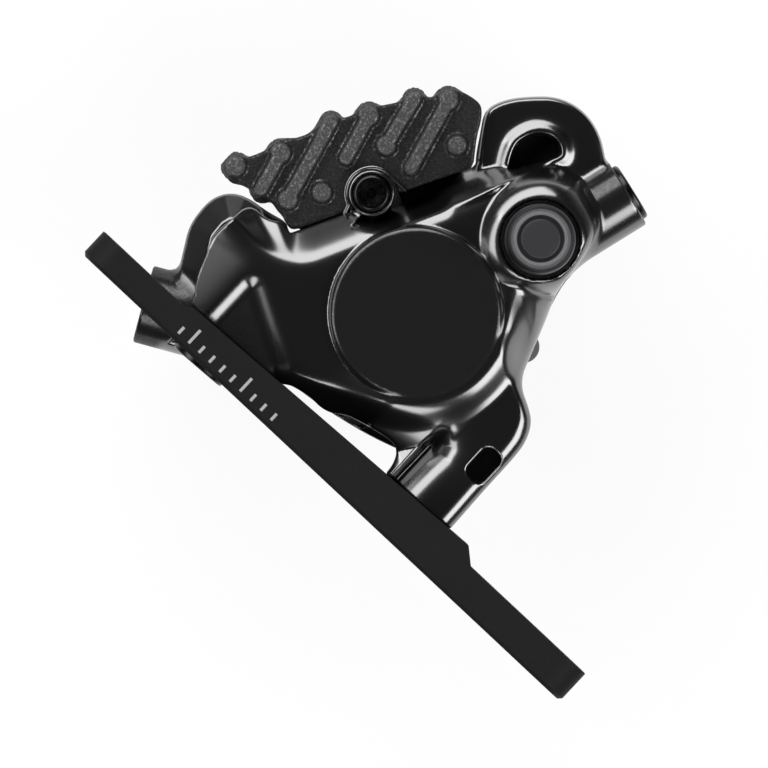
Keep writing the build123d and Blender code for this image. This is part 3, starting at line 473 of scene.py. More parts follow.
# %% [markdown]
# # The outer half as one casting
# The face, the outline and the bosses now meet in one distance. The bosses are joined with
# fillets, the window and the bores are cut last, and the slot in the foot gets a fine round rim.

# %% Outer body half
plug_x, plug_z, plug_depth = 4.2, 56.5, 9.0
plug_radius, plug_length = 4.9, 15.0
plug_way = (math.cos(math.radians(75)), math.sin(math.radians(75)))
bleed_seat_radius, bleed_seat_depth = 5.45, 17.8
bleed_bore_radius, bleed_bore_depth = 2.55, 9.6
foot_slot_x, foot_slot_z, foot_slot_depth = 15.1, 16.2, 7.0
joint_edge, seat_edge = 0.15, 0.25


def barrel(x, z, depth, end, way, end_depth, radius, length):
    """A round boss with its axis in the plan, ending at a flat face."""
    along = (x - end[0]) * way[0] + (z - end[1]) * way[1]
    aside = (z - end[1]) * way[0] - (x - end[0]) * way[1]
    around = np.hypot(aside, depth - end_depth)
    return round_cut(around - radius, box_distance(along, -length, 0), 0.3), around, along


def seat_distance(x, z):
    return (seat_height - z) * math.cos(seat_slope) + x * math.sin(seat_slope)


def outer_form(x, y, z):
    depth = rotor_y - y
    wall = read_plan(outer_wall, x, z)
    top = (depth - read_plan(outer_height, x, z)) * read_plan(outer_lean, x, z)
    body = round_cut(wall, top, read_plan(outer_round, x, z))
    body = fillet_join(body, piston_disc(x, z, depth, 1.1), 0.3)
    bleed = np.hypot(x - bleed_x, z - bleed_z)
    pocket = read_plan(arch_pocket_edge, x, z)
    body = carve(body, np.maximum(pocket + 0.05, 7.6 - depth), 0.35)
    plug_place = (plug_x, plug_z)
    plug, around, along = barrel(x, z, depth, plug_place, plug_way, plug_depth, plug_radius, plug_length)
    body = fillet_join(body, plug, 1.1)
    body, axle = axle_boss(body, x, z, depth, 14.0)
    body = round_cut(body, -depth, joint_edge)
    body = round_cut(body, seat_distance(x, z), seat_edge)
    slot_x, slot_z = np.abs(x - foot_slot_x) - 0.35, np.abs(z - foot_slot_z) - 1.3
    slot = np.hypot(np.maximum(slot_x, 0), np.maximum(slot_z, 0)) - 1.15
    body = carve(body, np.maximum(slot, foot_slot_depth - depth), 0.4)
    body = cut_room(body, x, z, depth)
    body = carve(body, axle - axle_bore_radius, drilled_edge)
    body = carve(body, np.maximum(axle - 2.6, 12.2 - depth), 0.2)
    body = cylinder_bore(body, x, z, depth)
    body = carve(body, np.maximum(bleed - bleed_seat_radius, bleed_seat_depth - depth), 0.16)
    body = carve(body, np.maximum(bleed - bleed_bore_radius, bleed_bore_depth - depth), drilled_edge)
    body = carve(body, np.maximum(around - 2.55, -7.05 - along), drilled_edge)
    return carve(body, np.maximum(around - 3.65, -1.0 - along), drilled_edge)


outer_half = cast("outer_half_casting", outer_form, (-33.8, -7.6, 4.6), (19.0, 12.6, 61.5), 0.305 * fine)

# %% [markdown]
# # The inner half
# The half behind the rotor mirrors the outer one: cylinder, disc and window are the same.
# It has a larger lobe round the lower clamping bolt, which shows beside the outer half with
# flat facets, and the slanted barrel that takes the brake hose.

# %% Outlines and heights of the inner half
inner_outline = [(-36.75, 15.6), (-36.3, 12.6), (-34.7, 9.6), (-33.2, 7.2), (-30.5, 5.0), (-26.0, 3.4),
                 (-20.0, 4.4), (-14.0, 6.0), (-5.0, 7.2), (2.0, 8.8), (8.0, 11.0), (11.2, 13.5),
                 (12.2, 18.0), (12.0, 24.0), (10.4, 28.9), (8.6, 34.0), (6.4, 41.0), (6.2, 44.5),
                 (4.6, 50.5), (1.0, 55.6)]
lobe_top = [(-26.2, 21.5), (-27.2, 22.0), (-29.8, 21.4), (-33.4, 20.8), (-35.4, 19.6), (-36.5, 17.8)]
inner_outline += arch_back + arch_side + window_side + lobe_top
lobe_facets = [(-36.75, 16.4), (-36.5, 12.6), (-33.3, 7.3), (-30.5, 5.0), (-26.0, 3.4), (0.0, 3.4),
               (0.0, 24.0), (-28.0, 21.7), (-33.5, 20.9), (-35.9, 19.2)]
inner_ridge = [(-36.0, 10.0), (-30.0, 16.0), (-24.0, 18.5), (-21.2, 20.3), (-18.0, 26.8), (-13.5, 36.0),
               (-9.5, 44.0), (-5.5, 52.0), (-1.5, 60.0)]
inner_crease = [(-30.0, 8.0), (-16.0, 10.5), (0.4, 10.8), (9.0, 14.0), (14.0, 16.0)]
inner_wall = outline_distance(inner_outline, 2)
inner_face = 17.0 - 1.8 * blend_step(plan_across, 10, 24) + 1.0 * blend_step(gx, -4, 8)
inner_face = inner_face - soft_slope(path_distance(inner_ridge), 1.9, 1.2)
inner_face = inner_face - soft_slope(-path_distance(inner_crease), 1.5, 1.0)
lobe_distance = np.hypot(gx + 28.9, gz - 14.0)
lobe = 11.6 - soft_slope(lobe_distance - 7.0, 1.2, 1.0)
inner_arch = 11.2 - soft_slope(arch_edge, 2.5, 0.6)
inner_top = soft_peak(soft_peak(inner_face, inner_arch, 0.8), lobe, 1.2)
inner_height = soften(inner_top, 0.2)
inner_lean = lean_of(inner_height)
facet_depth = outline_distance(lobe_facets, 0)
inner_front = soften(np.where(gx < -20, np.maximum(0, 3.4 + facet_depth) * 0.98, 0.0), 0.3)
front_lean = lean_of(inner_front)
print("inner face from", round(float(inner_height.min()), 1), "to", round(float(inner_height.max()), 1))

# %% [markdown]
# # The inner half as one casting
# The inner half carries the two clamping screws in counterbores, and the hose's inlet in its barrel.
# The bores are cut last, so that each leaves a clean edge through whatever it meets.

# %% Inner body half
hose_x, hose_z, hose_depth = -33.75, 0.55, 5.8
hose_radius, hose_length, inlet_radius = 5.4, 14.0, 3.75
hose_way = (math.cos(math.radians(207.7)), math.sin(math.radians(207.7)))
clamp_places = [(-28.9, 14.0), (-11.4, 53.2)]
clamp_bore_radius, clamp_seat_radius, clamp_seat_depth = 2.55, 4.15, 6.0


def inner_form(x, y, z):
    depth = y - rotor_y
    wall = read_plan(inner_wall, x, z)
    top = (depth - read_plan(inner_height, x, z)) * read_plan(inner_lean, x, z)
    body = round_cut(wall, top, np.where(x < -20, 1.2, 3.0))
    body = fillet_join(body, piston_disc(x, z, depth, 0.55), 0.4)
    front = (read_plan(inner_front, x, z) - depth) * read_plan(front_lean, x, z)
    body = round_cut(body, front, 0.3)
    hose_place = (hose_x, hose_z)
    hose, around, along = barrel(x, z, depth, hose_place, hose_way, hose_depth, hose_radius, hose_length)
    body = fillet_join(body, hose, 1.8)
    body = round_cut(body, -depth, joint_edge)
    body = cut_room(body, x, z, depth)
    body, axle = axle_boss(body, x, z, depth, 12.2)
    body = carve(body, np.maximum(axle - axle_bore_radius, depth - 11.4), drilled_edge)
    body = cylinder_bore(body, x, z, depth)
    for clamp_x, clamp_z in clamp_places:
        clamp = np.hypot(x - clamp_x, z - clamp_z)
        body = carve(body, clamp - clamp_bore_radius, drilled_edge)
        body = carve(body, np.maximum(clamp - clamp_seat_radius, clamp_seat_depth - depth), 0.35)
    body = carve(body, np.maximum(around - inlet_radius, -9.0 - along), 0.35)
    return carve(body, np.maximum(around - 1.5, -13.0 - along), drilled_edge)


inner_half = cast("inner_half_casting", inner_form, (-39.6, 11.4, -5.0), (13.5, 31.2, 61.5), 0.36 * fine)

# %% [markdown]
# # Cooling fins
# Each pad carries a cast plate with five ribs and eight pins that shed heat. The mould lets go
# of them only because their sides lean, so each rib widens towards the plate and meets it in a
# small fillet. The same distances make them, one rib or pin at a time.

# %% Cooling fins
fin_outline = [(-37.4, 21.4), (-38.0, 21.7), (-38.0, 22.6), (-37.5, 23.7), (-36.5, 25.2), (-35.3, 28.0),
               (-34.8, 30.0), (-33.4, 31.7), (-32.4, 34.5), (-31.5, 36.6), (-30.3, 38.6), (-29.6, 40.2),
               (-28.5, 42.0), (-26.4, 45.0), (-25.4, 46.6), (-23.7, 48.3), (-22.8, 50.2), (-21.6, 51.1),
               (-20.2, 51.5), (-18.8, 51.6), (-18.0, 51.2), (-17.0, 50.0), (-16.0, 48.2), (-14.6, 46.2),
               (-13.8, 45.0), (-14.0, 43.9), (-14.8, 42.2), (-16.0, 40.0), (-17.6, 36.9), (-22.6, 27.6),
               (-23.4, 26.2), (-24.4, 24.2), (-25.6, 22.2), (-26.3, 21.8), (-27.3, 22.0), (-29.0, 22.7),
               (-31.0, 22.5), (-33.5, 22.0), (-36.0, 21.4)]
fin_ribs = [((-33.8, 28.3), (-32.4, 22.9)), ((-31.7, 36.0), (-28.8, 24.4)), ((-28.5, 40.1), (-26.9, 33.8)),
            ((-25.6, 46.0), (-24.1, 38.8)), ((-22.1, 49.0), (-19.5, 38.8))]
fin_pins = [(-37.0, 22.8), (-33.8, 28.3), (-28.8, 24.4), (-26.1, 28.2), (-28.5, 40.1), (-24.1, 38.8),
            (-22.1, 49.0), (-17.1, 45.4)]
fin_edge = outline_distance(fin_outline, 1)
fin_plate_low, fin_plate_high, fin_top = 11.0, 13.0, 14.0
fin_root, fin_tip_edge = 11.6, 0.16
rib_half_width, pin_radius, side_lean = 0.7, 1.12, 0.42
fin_wall_start, fin_wall_end, fin_foot_start = 16.4, 18.1, 12.1
fin_foot_low, fin_foot_high = 5.0, 6.8
notch_radius = 3.5


def fin_form(x, y, z):
    depth = rotor_y - y
    across, out = across_and_out(x, z)
    plate = round_cut(read_plan(fin_edge, x, z), box_distance(depth, fin_plate_low, fin_plate_high), 0.45)
    lean = side_lean * (fin_top - depth)
    relief = np.full(x.shape, 9.0)
    ends = np.maximum(depth - fin_top, fin_root - depth)
    for (ax, az), (bx, bz) in fin_ribs:
        ex, ez = bx - ax, bz - az
        t = np.clip(((x - ax) * ex + (z - az) * ez) / (ex * ex + ez * ez), 0, 1)
        rib = np.hypot(x - ax - t * ex, z - az - t * ez) - rib_half_width - lean
        relief = np.minimum(relief, round_cut(0.9 * rib, ends, fin_tip_edge))
    for pin_x, pin_z in fin_pins:
        pin = np.hypot(x - pin_x, z - pin_z) - pin_radius - lean
        relief = np.minimum(relief, round_cut(0.9 * pin, ends, fin_tip_edge))
    fin = fillet_join(plate, relief, 0.4)
    width = box_distance(across, foot_left + 0.3, foot_right - 0.3)
    wall = np.maximum(width, box_distance(out, fin_wall_start, fin_wall_end))
    wall = np.maximum(wall, box_distance(depth, fin_foot_low, 12.5))
    foot = np.maximum(width, box_distance(out, fin_foot_start, fin_wall_end))
    foot = np.maximum(foot, box_distance(depth, fin_foot_low, fin_foot_high))
    fin = fillet_join(fin, fillet_join(wall, foot, 0.8), 0.5)
    notch = np.where(out > axle_out, np.hypot(across, out - axle_out), np.abs(across)) - notch_radius
    return carve(fin, notch, machined_edge)


def inner_fin_form(x, y, z):
    return fin_form(x, 2 * rotor_y - y, z)


outer_fin = cast("outer_fin_casting", fin_form, (-38.8, -2.6, 20.8), (-13.2, 7.6, 52.4), 0.25 * fine)
inner_fin = cast("inner_fin_casting", inner_fin_form, (-38.8, 16.4, 20.8), (-13.2, 26.6, 52.4), 0.25 * fine)

# %% [markdown]
# # Turned parts
# The bleed cap and the axle's head are round, so each is a profile swept round its axis. A hex
# socket is one too, if the profile's rings may be six-sided: the radius then follows the flats.

# %% Turning a profile
def turned(name, profile, centre, segments=96):
    """Sweeps a profile of (radius, height, sides) about an axis along Y. Height runs towards the camera."""
    cx, cz, base = centre
    mesh = bpy.data.meshes.new(name)
    bm = bmesh.new()
    rings = []
    for radius, rise, sides in profile:
        ring = []
        for k in range(segments):
            angle = 2 * math.pi * k / segments
            size = radius
            if sides:
                part = math.pi / sides
                size = radius / math.cos((angle + part) % (2 * part) - part)
            ring.append(bm.verts.new(((cx + size * math.cos(angle)) * MM, (base - rise) * MM,
                                      (cz + size * math.sin(angle)) * MM)))
        rings.append(ring)
    for low, high in zip(rings, rings[1:]):
        for k in range(segments):
            bm.faces.new((low[k], low[(k + 1) % segments], high[(k + 1) % segments], high[k]))
    bm.faces.new(rings[0])
    bm.faces.new(rings[-1])
    bmesh.ops.recalc_face_normals(bm, faces=bm.faces)
    for face_made in bm.faces:
        face_made.smooth = True
    for edge in bm.edges:
        if len(edge.link_faces) == 2 and edge.calc_face_angle() > math.radians(28):
            edge.smooth = False
    bm.to_mesh(mesh)
    bm.free()
    piece = bpy.data.objects.new(name, mesh)
    bpy.context.scene.collection.objects.link(piece)
    print(name, "with", len(profile), "rings")
    return piece


def rounded(profile, radius, steps=3):
    """Rounds the corners of a profile, apart from its ends and its six-sided rings."""
    points = [profile[0]]
    for before, corner, after in zip(profile, profile[1:], profile[2:]):
        if corner[2] or before[2] or after[2]:
            points.append(corner)
            continue
        b, c, a = (Vector(p[:2]) for p in (before, corner, after))
        back, on = b - c, a - c
        cut = min(radius, 0.45 * back.length, 0.45 * on.length)
        start, end = c + back.normalized() * cut, c + on.normalized() * cut
        for k in range(steps + 1):
            t = k / steps
            spot = start * (1 - t) ** 2 + c * 2 * t * (1 - t) + end * t ** 2
            points.append((spot.x, spot.y, 0))
    points.append(profile[-1])
    return points


# %% [markdown]
# # The bleed nipple's cap
# A moulded rubber cap keeps dirt out of the nipple. Its round top has a groove and a dished middle,
# so a profile with a dozen corners says all of it, and a lathe-like sweep closes it in one go.

# %% Bleed cap
cap_profile = [(2.9, -0.95, 0), (4.85, -0.95, 0), (4.8, 1.15, 0), (4.65, 7.9, 0), (4.3, 8.4, 0),
               (4.1, 8.4, 0), (4.0, 8.15, 0), (3.75, 8.15, 0), (3.65, 8.4, 0), (3.2, 8.4, 0),
               (3.1, 7.95, 0), (2.75, 7.95, 0), (2.65, 8.3, 0), (0.4, 8.35, 0)]
bleed_cap = turned("bleed_cap_rubber", rounded(cap_profile, 0.18), (bleed_x, bleed_z, -6.8))

# %% [markdown]
# # The pad axle
# A slim screw crosses both halves and carries the pads. Only its head shows, with a hex socket. Its
# rings are round outside and six-sided inside, which cuts the socket without any Boolean.

# %% Pad axle
axle_profile = [(1.98, -24.4, 0), (1.98, 0.0, 0), (2.5, 0.0, 0), (2.5, 2.1, 0), (2.15, 2.4, 0),
                (1.75, 2.4, 0), (1.5, 2.15, 6), (1.5, 0.7, 6), (0.6, 0.55, 0), (0.55, 0.75, 0),
                (0.1, 0.75, 0)]
pad_axle = turned("pad_axle_screw", rounded(axle_profile, 0.15), (axle_x, axle_z, -0.2))

# %% [markdown]
# # Materials
# Shader maths reads best as maths. A small class wraps a socket, so that plus, minus and times
# add Math nodes by themselves, and one method adds any other node.

# %% A small language for shader nodes
class Value:
    def __init__(self, owner, socket):
        self.owner, self.socket = owner, socket

    def _math(self, operation, *others, flipped=False):
        inputs = [self, *others]
        if flipped:
            inputs.reverse()
        return self.owner.node("ShaderNodeMath", {"operation": operation}, dict(enumerate(inputs)))

    def __add__(self, other): return self._math("ADD", other)
    def __radd__(self, other): return self._math("ADD", other)
    def __sub__(self, other): return self._math("SUBTRACT", other)
    def __rsub__(self, other): return self._math("SUBTRACT", other, flipped=True)
    def __mul__(self, other): return self._math("MULTIPLY", other)
    def __rmul__(self, other): return self._math("MULTIPLY", other)
    def __truediv__(self, other): return self._math("DIVIDE", other)
    def __abs__(self): return self._math("ABSOLUTE")
    def over(self, other): return self._math("MAXIMUM", other)
    def root(self): return self._math("SQRT")
    def rest(self): return self._math("FRACT")

    def step(self, start, end):
        """Rises smoothly from 0 to 1 as the value goes from start to end."""
        return self.owner.node("ShaderNodeMapRange", {"interpolation_type": "SMOOTHSTEP"},
                                {0: self, 1: start, 2: end, 3: 0.0, 4: 1.0})


class Nodes:
    def node(self, kind, settings=None, inputs=None, output=0):
        made = self.tree.nodes.new(kind)
        for key, value in (settings or {}).items():
            setattr(made, key, value)
        for key, value in (inputs or {}).items():
            if isinstance(value, Value):
                self.tree.links.new(value.socket, made.inputs[key])
            else:
                made.inputs[key].default_value = value
        return Value(self, made.outputs[output])


class Finish(Nodes):
    def __init__(self, name):
        self.material = bpy.data.materials.new(name)
        self.material.use_nodes = True
        self.tree = self.material.node_tree
        self.tree.nodes.clear()
        self.out = self.tree.nodes.new("ShaderNodeOutputMaterial")
        self.shader = self.tree.nodes.new("ShaderNodeBsdfPrincipled")
        self.tree.links.new(self.shader.outputs[0], self.out.inputs[0])
        place = self.tree.nodes.new("ShaderNodeTexCoord").outputs["Object"]
        self.place = Value(self, place)
        parts = self.tree.nodes.new("ShaderNodeSeparateXYZ")
        self.tree.links.new(place, parts.inputs[0])
        self.x, self.y, self.z = (Value(self, parts.outputs[k]) * 1000.0 for k in range(3))

    def from_axis(self, x, z):
        """Distance from an axis across the rotor, in millimetres."""
        return ((self.x - x) * (self.x - x) + (self.z - z) * (self.z - z)).root()

    def noise(self, size, detail, roughness):
        """Noise whose lumps are about this many millimetres across."""
        return self.node("ShaderNodeTexNoise", None, {"Vector": self.place, "Scale": 1000.0 / size,
                                                      "Detail": detail, "Roughness": roughness})

    def mix(self, factor, first, second):
        return self.node("ShaderNodeMix", {"data_type": "RGBA"}, {0: factor, 6: first, 7: second}, output=2)

    def set(self, **inputs):
        names = {"colour": "Base Color", "roughness": "Roughness", "metallic": "Metallic",
                 "specular": "Specular IOR Level", "coat": "Coat Weight", "coat_ior": "Coat IOR",
                 "coat_roughness": "Coat Roughness", "normal": "Normal"}
        for key, value in inputs.items():
            socket = self.shader.inputs[names[key]]
            if isinstance(value, Value):
                self.tree.links.new(value.socket, socket)
            else:
                socket.default_value = value
        return self

    def bump(self, height, strength, distance):
        """Bump from a height, with its distance in millimetres."""
        normal = self.node("ShaderNodeBump", None,
                           {"Height": height, "Strength": strength, "Distance": distance * MM})
        return self.set(normal=normal)


def grey(level, tint=0.0):
    return (level, level, level * (1 + tint), 1.0)


# %% [markdown]
# # Gloss black on the castings
# The body is smooth black paint. Only the disc over the piston, the cast pockets and the top of
# the barrel keep a fine grain, so one paint has both, and a mask in place decides which shows.

# %% Body paint
paint = Finish("body_paint")
both_discs = (1 - paint.y.step(-5.6, -5.1)).over(paint.y.step(29.1, 29.6))
on_disc = (1 - paint.from_axis(piston_x, piston_z).step(10.9, 11.9)) * both_discs
in_arch = (1 - paint.from_axis(-8.3, 51.9).step(3.6, 4.4)) * paint.y.step(2.8, 3.3)
in_arch = in_arch * (1 - paint.y.step(8.0, 9.0))
in_foot = (paint.x + 24.3).step(0.0, 1.0) * (11.4 - 0.55 * (paint.x + 24.1) - paint.z).step(-0.5, 0.8)
in_foot = in_foot * (1 - (paint.x + 14.2).step(-0.6, 0.6)) * (1 - paint.y.step(-3.4, -2.9))
in_foot = in_foot * (1 - paint.z.step(12.0, 12.6))
port_along = (paint.x - plug_x) * plug_way[0] + (paint.z - plug_z) * plug_way[1]
port_aside = (paint.z - plug_z) * plug_way[0] - (paint.x - plug_x) * plug_way[1]
on_port = port_along.step(-11.0, -9.0) * port_aside.step(-2.5, -0.5) * 0.75
on_port = on_port * (1 - port_aside.step(4.6, 4.9)) * (1 - paint.y.step(8.0, 9.5))
on_hose = (1 - paint.z.step(6.0, 8.0)) * (1 - paint.x.step(-29.0, -27.5)) * paint.y.step(10.0, 11.0) * 0.8
grain = on_disc.over(in_arch).over(in_foot).over(on_port).over(on_hose)
fine_grain = paint.noise(0.42, 4.0, 0.6)
ripple = paint.noise(2.4, 2.0, 0.5)
paint.set(colour=paint.mix(grain, grey(0.002, 0.05), grey(0.008, 0.04)),
          roughness=0.45 + ripple * 0.05, specular=0.06,
          coat=1.0 - grain * (1.0 - fine_grain.step(0.47, 0.6) * 0.12), coat_roughness=0.2, coat_ior=2.3)
paint.bump(ripple * 0.2 + fine_grain * (0.02 + grain * 1.6 + in_foot * 3.4), 0.6, 0.06)
print("body paint with", len(paint.tree.nodes), "nodes")

# %% [markdown]
# # Matt black on the bracket
# The bracket is anodised aluminium with a fine even grain. A plain scale of ticks is printed on its
# front. An image could carry it, but a fraction of the place along the bracket repeats a tick too.

# %% Bracket finish
anodised = Finish("bracket_anodised")
speck = anodised.noise(0.22, 3.0, 0.6)
cloud = anodised.noise(7.0, 2.0, 0.5)
tick_place = (anodised.x + 30.0) / 1.9
tick = (1 - abs(tick_place.rest() - 0.5).step(0.09, 0.12))
long_tick = (1 - abs((tick_place / 5.0).rest() - 0.5).step(0.09, 0.11))
tick_top = 2.2 + long_tick * 1.2
tick = tick * anodised.x.step(-27.9, -27.8) * (1 - anodised.x.step(-9.3, -9.2))
tick = tick * anodised.z.step(1.0, 1.1) * (1 - (anodised.z - tick_top).step(-0.05, 0.05))
tick = tick * (1 - anodised.y.step(-8.9, -8.8))
worn = speck * 0.25 + 0.75
bare_black = anodised.mix(cloud, grey(0.0085, 0.06), grey(0.0105, 0.06))
anodised.set(colour=anodised.mix(tick * worn, bare_black, grey(0.36)),
             roughness=0.5 + speck * 0.15, specular=0.08)
anodised.bump(speck, 0.6, 0.04)
print("scale of ticks from", -27.9, "to", -9.3, "mm")

# %% [markdown]
# # Coating of the fins
# The fins are cast and coated dark. Their tops are painted pale, as painted light where the lamps fall,
# and the plate between them stays darker as painted shade. Coarse specks on the tops are glossier, and are
# painted paler still as painted glints. The depth tells top from plate, so no part of the mesh needs to be
# marked by hand.

# %% Fin coating
cast_grey = Finish("fin_coating")
grit = cast_grey.noise(0.3, 4.0, 0.65)
lumps = cast_grey.noise(1.6, 2.0, 0.5)
# Painted light: rib and pin tops are painted paler, and the plate between them darker as painted shade
painted_top_light = (1 - cast_grey.y.step(-1.9, -1.2)).over(cast_grey.y.step(25.2, 25.9))
spark = grit.step(0.5, 0.62)
cast_grey.set(colour=cast_grey.mix(painted_top_light * (0.35 + spark * 0.65), grey(0.006, 0.02), grey(0.12, 0.02)),
              roughness=0.42 + grit * 0.2, specular=0.2,
              coat=0.06 + spark * 0.5, coat_roughness=0.32, coat_ior=2.0)
cast_grey.bump(grit + lumps * 0.5, 1.0, 0.3)
print("fin coating with", len(cast_grey.tree.nodes), "nodes")

# %% [markdown]
# # Rubber of the cap
# The cap is dull black rubber. Its top face is painted paler than its near-black sides, and its ring paler
# still, as painted light where the top catches the lamps. Rings of distance from the axis paint it, and a
# dusty noise keeps the gloss uneven.

# %% Cap rubber
cap_rubber = Finish("cap_rubber")
dust = cap_rubber.noise(0.5, 4.0, 0.6)
cap_ring = cap_rubber.from_axis(bleed_x, bleed_z)
cap_top = 1 - cap_rubber.y.step(-15.1, -14.6)
# Painted light: the ring and the top face are painted paler than the near-black sides
painted_ring_light = cap_ring.step(3.15, 3.3) * (1 - cap_ring.step(3.95, 4.1))
cap_face = cap_rubber.mix(painted_ring_light, grey(0.022, 0.15), grey(0.12, 0.08))
cap_rubber.set(colour=cap_rubber.mix(cap_top * (1 - cap_ring.step(4.0, 4.2)), grey(0.006), cap_face),
               roughness=0.36 + dust * 0.15, specular=0.35)
cap_rubber.bump(dust, 0.35, 0.03)
print("cap rubber with", len(cap_rubber.tree.nodes), "nodes")

# %% [markdown]
# # Bare and plated metal
# The screws, springs and plates are plain steel in several shades. They differ only in how pale,
# how rough and how finely scratched they are, so one function makes them all.

# %% Metals
def metal(name, level, rough, scratch):
    """Bare or plated metal with fine wear."""
    made = Finish(name)
    marks = made.noise(scratch, 4.0, 0.6)
    stain = made.noise(4.0, 2.0, 0.5)
    made.set(colour=made.mix(stain, grey(level * 0.85, 0.02), grey(level * 1.1, 0.02)),
             roughness=rough * 0.8 + marks * rough * 0.5, metallic=1.0)
    return made.bump(marks, 0.3, 0.02)


black_screw = metal("black_screw_steel", 0.035, 0.26, 0.3)
bright_steel = metal("spring_steel", 0.16, 0.22, 0.3)
nipple_steel = metal("nipple_steel", 0.35, 0.3, 0.4)
plate_steel = metal("plate_steel", 0.42, 0.42, 0.5)
print("four metals")

# %% [markdown]
# # Inside the caliper
# The seals are rubber, the pistons ceramic, and the linings pressed from fibres and brass flecks.
# They hardly show from the front, but the far side and the rotor's slot let them be seen.

# %% Seals, pistons and linings
seal_rubber = Finish("seal_rubber")
seal_dust = seal_rubber.noise(0.4, 3.0, 0.5)
seal_rubber.set(colour=seal_rubber.mix(seal_dust, grey(0.01), grey(0.022)), roughness=0.5 + seal_dust * 0.2)
seal_rubber.bump(seal_dust, 0.3, 0.02)

ceramic = Finish("piston_ceramic")
ceramic_speck = ceramic.noise(0.6, 3.0, 0.5)
ceramic.set(colour=ceramic.mix(ceramic_speck, (0.66, 0.63, 0.56, 1), (0.74, 0.72, 0.66, 1)),
            roughness=0.32 + ceramic_speck * 0.15)
ceramic.bump(ceramic_speck, 0.2, 0.02)

lining = Finish("pad_lining")
fibres = lining.noise(0.35, 5.0, 0.7)
flecks = lining.noise(0.9, 2.0, 0.5).step(0.6, 0.68)
lining.set(colour=lining.mix(flecks, lining.mix(fibres, (0.07, 0.055, 0.045, 1), (0.16, 0.13, 0.1, 1)),
                             (0.4, 0.26, 0.12, 1)), roughness=0.85)
lining.bump(fibres, 0.8, 0.12)
print(len(bpy.data.materials), "finishes")


# %% [markdown]
# # Screws and wire by Geometry Nodes
# Four socket screws are the same thing in two sizes, so a tree grows them: it winds a thread
# round a plain screw and sets one on each place. A second tree bends a wire along a path.

# %% A tree of geometry nodes with named inputs
class Growth(Nodes):
    def __init__(self, name, **kinds):
        self.tree = bpy.data.node_groups.new(name, "GeometryNodeTree")
        faces = self.tree.interface
        faces.new_socket(name="Geometry", in_out="OUTPUT", socket_type="NodeSocketGeometry")
        faces.new_socket(name="Geometry", in_out="INPUT", socket_type="NodeSocketGeometry")
        self.keys = {}
        for label, kind in kinds.items():
            self.keys[label] = faces.new_socket(name=label, in_out="INPUT", socket_type=kind).identifier
        self.start = self.tree.nodes.new("NodeGroupInput")
        self.out = self.tree.nodes.new("NodeGroupOutput")

    def given(self, label):
        return Value(self, self.start.outputs[label])

    def end(self, shape, finish):
        """Makes the instances real, gives them their finish and ends the tree."""
        real = self.node("GeometryNodeRealizeInstances", None, {0: shape})
        done = self.node("GeometryNodeSetMaterial", None, {"Geometry": real, "Material": finish.material})
        self.tree.links.new(done.socket, self.out.inputs[0])

    def grow(self, name, points, edges, **values):
        """Runs the tree on a few points, in millimetres, and keeps the result as a plain mesh."""
        seed = bpy.data.meshes.new(name + "_seed")
        seed.from_pydata([tuple(Vector(p) * MM) for p in points], edges, [])
        carrier = bpy.data.objects.new(name + "_seed", seed)
        bpy.context.scene.collection.objects.link(carrier)
        modifier = carrier.modifiers.new("growth", "NODES")
        modifier.node_group = self.tree
        for label, value in values.items():
            modifier[self.keys[label]] = value
        grown = carrier.evaluated_get(bpy.context.evaluated_depsgraph_get())
        mesh = bpy.data.meshes.new_from_object(grown)
        mesh.name = name
        bpy.data.objects.remove(carrier)
        piece = bpy.data.objects.new(name, mesh)
        bpy.context.scene.collection.objects.link(piece)
        print(name, "grown with", len(mesh.polygons), "faces")
        return piece


# %% Threaded socket screws
screws = Growth("socket_screws", Screw="NodeSocketObject", Turned="NodeSocketRotation",
                Pitch="NodeSocketFloat", Tooth="NodeSocketFloat", Thread_radius="NodeSocketFloat",
                Thread_length="NodeSocketFloat", Tip="NodeSocketFloat")
winding_radius, winding_length = screws.given("Thread_radius"), screws.given("Thread_length")
helix = screws.node("GeometryNodeCurveSpiral", None,
                    {"Resolution": 24, "Rotations": winding_length / screws.given("Pitch"),
                     "Start Radius": winding_radius, "End Radius": winding_radius, "Height": winding_length})
tooth = screws.node("GeometryNodeCurvePrimitiveCircle", None,
                    {"Resolution": 4, "Radius": screws.given("Tooth")})
thread = screws.node("GeometryNodeCurveToMesh", None,
                     {"Curve": helix, "Profile Curve": tooth, "Fill Caps": True})
lift = screws.node("ShaderNodeCombineXYZ", None, {"Z": screws.given("Tip")})
thread = screws.node("GeometryNodeTransform", None, {"Geometry": thread, "Translation": lift})
thread = screws.node("GeometryNodeTransform", None, {"Geometry": thread, "Rotation": (math.pi / 2, 0, 0)})
blank = screws.node("GeometryNodeObjectInfo", None, {"Object": screws.given("Screw")}, output="Geometry")
join = screws.tree.nodes.new("GeometryNodeJoinGeometry")
for part in (thread, blank):
    screws.tree.links.new(part.socket, join.inputs[0])
placed = screws.node("GeometryNodeInstanceOnPoints", None,
                     {"Points": screws.given("Geometry"), "Instance": Value(screws, join.outputs[0]),
                      "Rotation": screws.given("Turned")})
screws.end(placed, black_screw)


def socket_screws(name, places, turned_by, shank, head_radius, head_height, socket_depth):
    """M5 socket screws on these places. The head's seat is at height 0 and the shank runs below it."""
    socket = head_height - socket_depth
    profile = [(0.3, -shank, 0), (1.9, -shank, 0), (core_radius, -shank + 0.5, 0), (core_radius, 0.0, 0),
               (head_radius, 0.0, 0), (head_radius, head_height, 0), (2.75, head_height, 0),
               (2.45, head_height - 0.25, 0), (2.0, head_height - 0.4, 6), (2.0, socket, 6),
               (0.3, socket - 0.3, 0)]
    blank = turned(name + "_blank", rounded(profile, 0.35), (0, 0, 0), 72)
    grown = screws.grow(name, places, [], Screw=blank, Turned=turned_by, Pitch=thread_pitch * MM,
                        Tooth=thread_tooth * MM, Thread_radius=(core_radius - 0.02) * MM,
                        Thread_length=(shank - 3.0) * MM, Tip=(0.6 - shank) * MM)
    bpy.data.objects.remove(blank)
    return grown


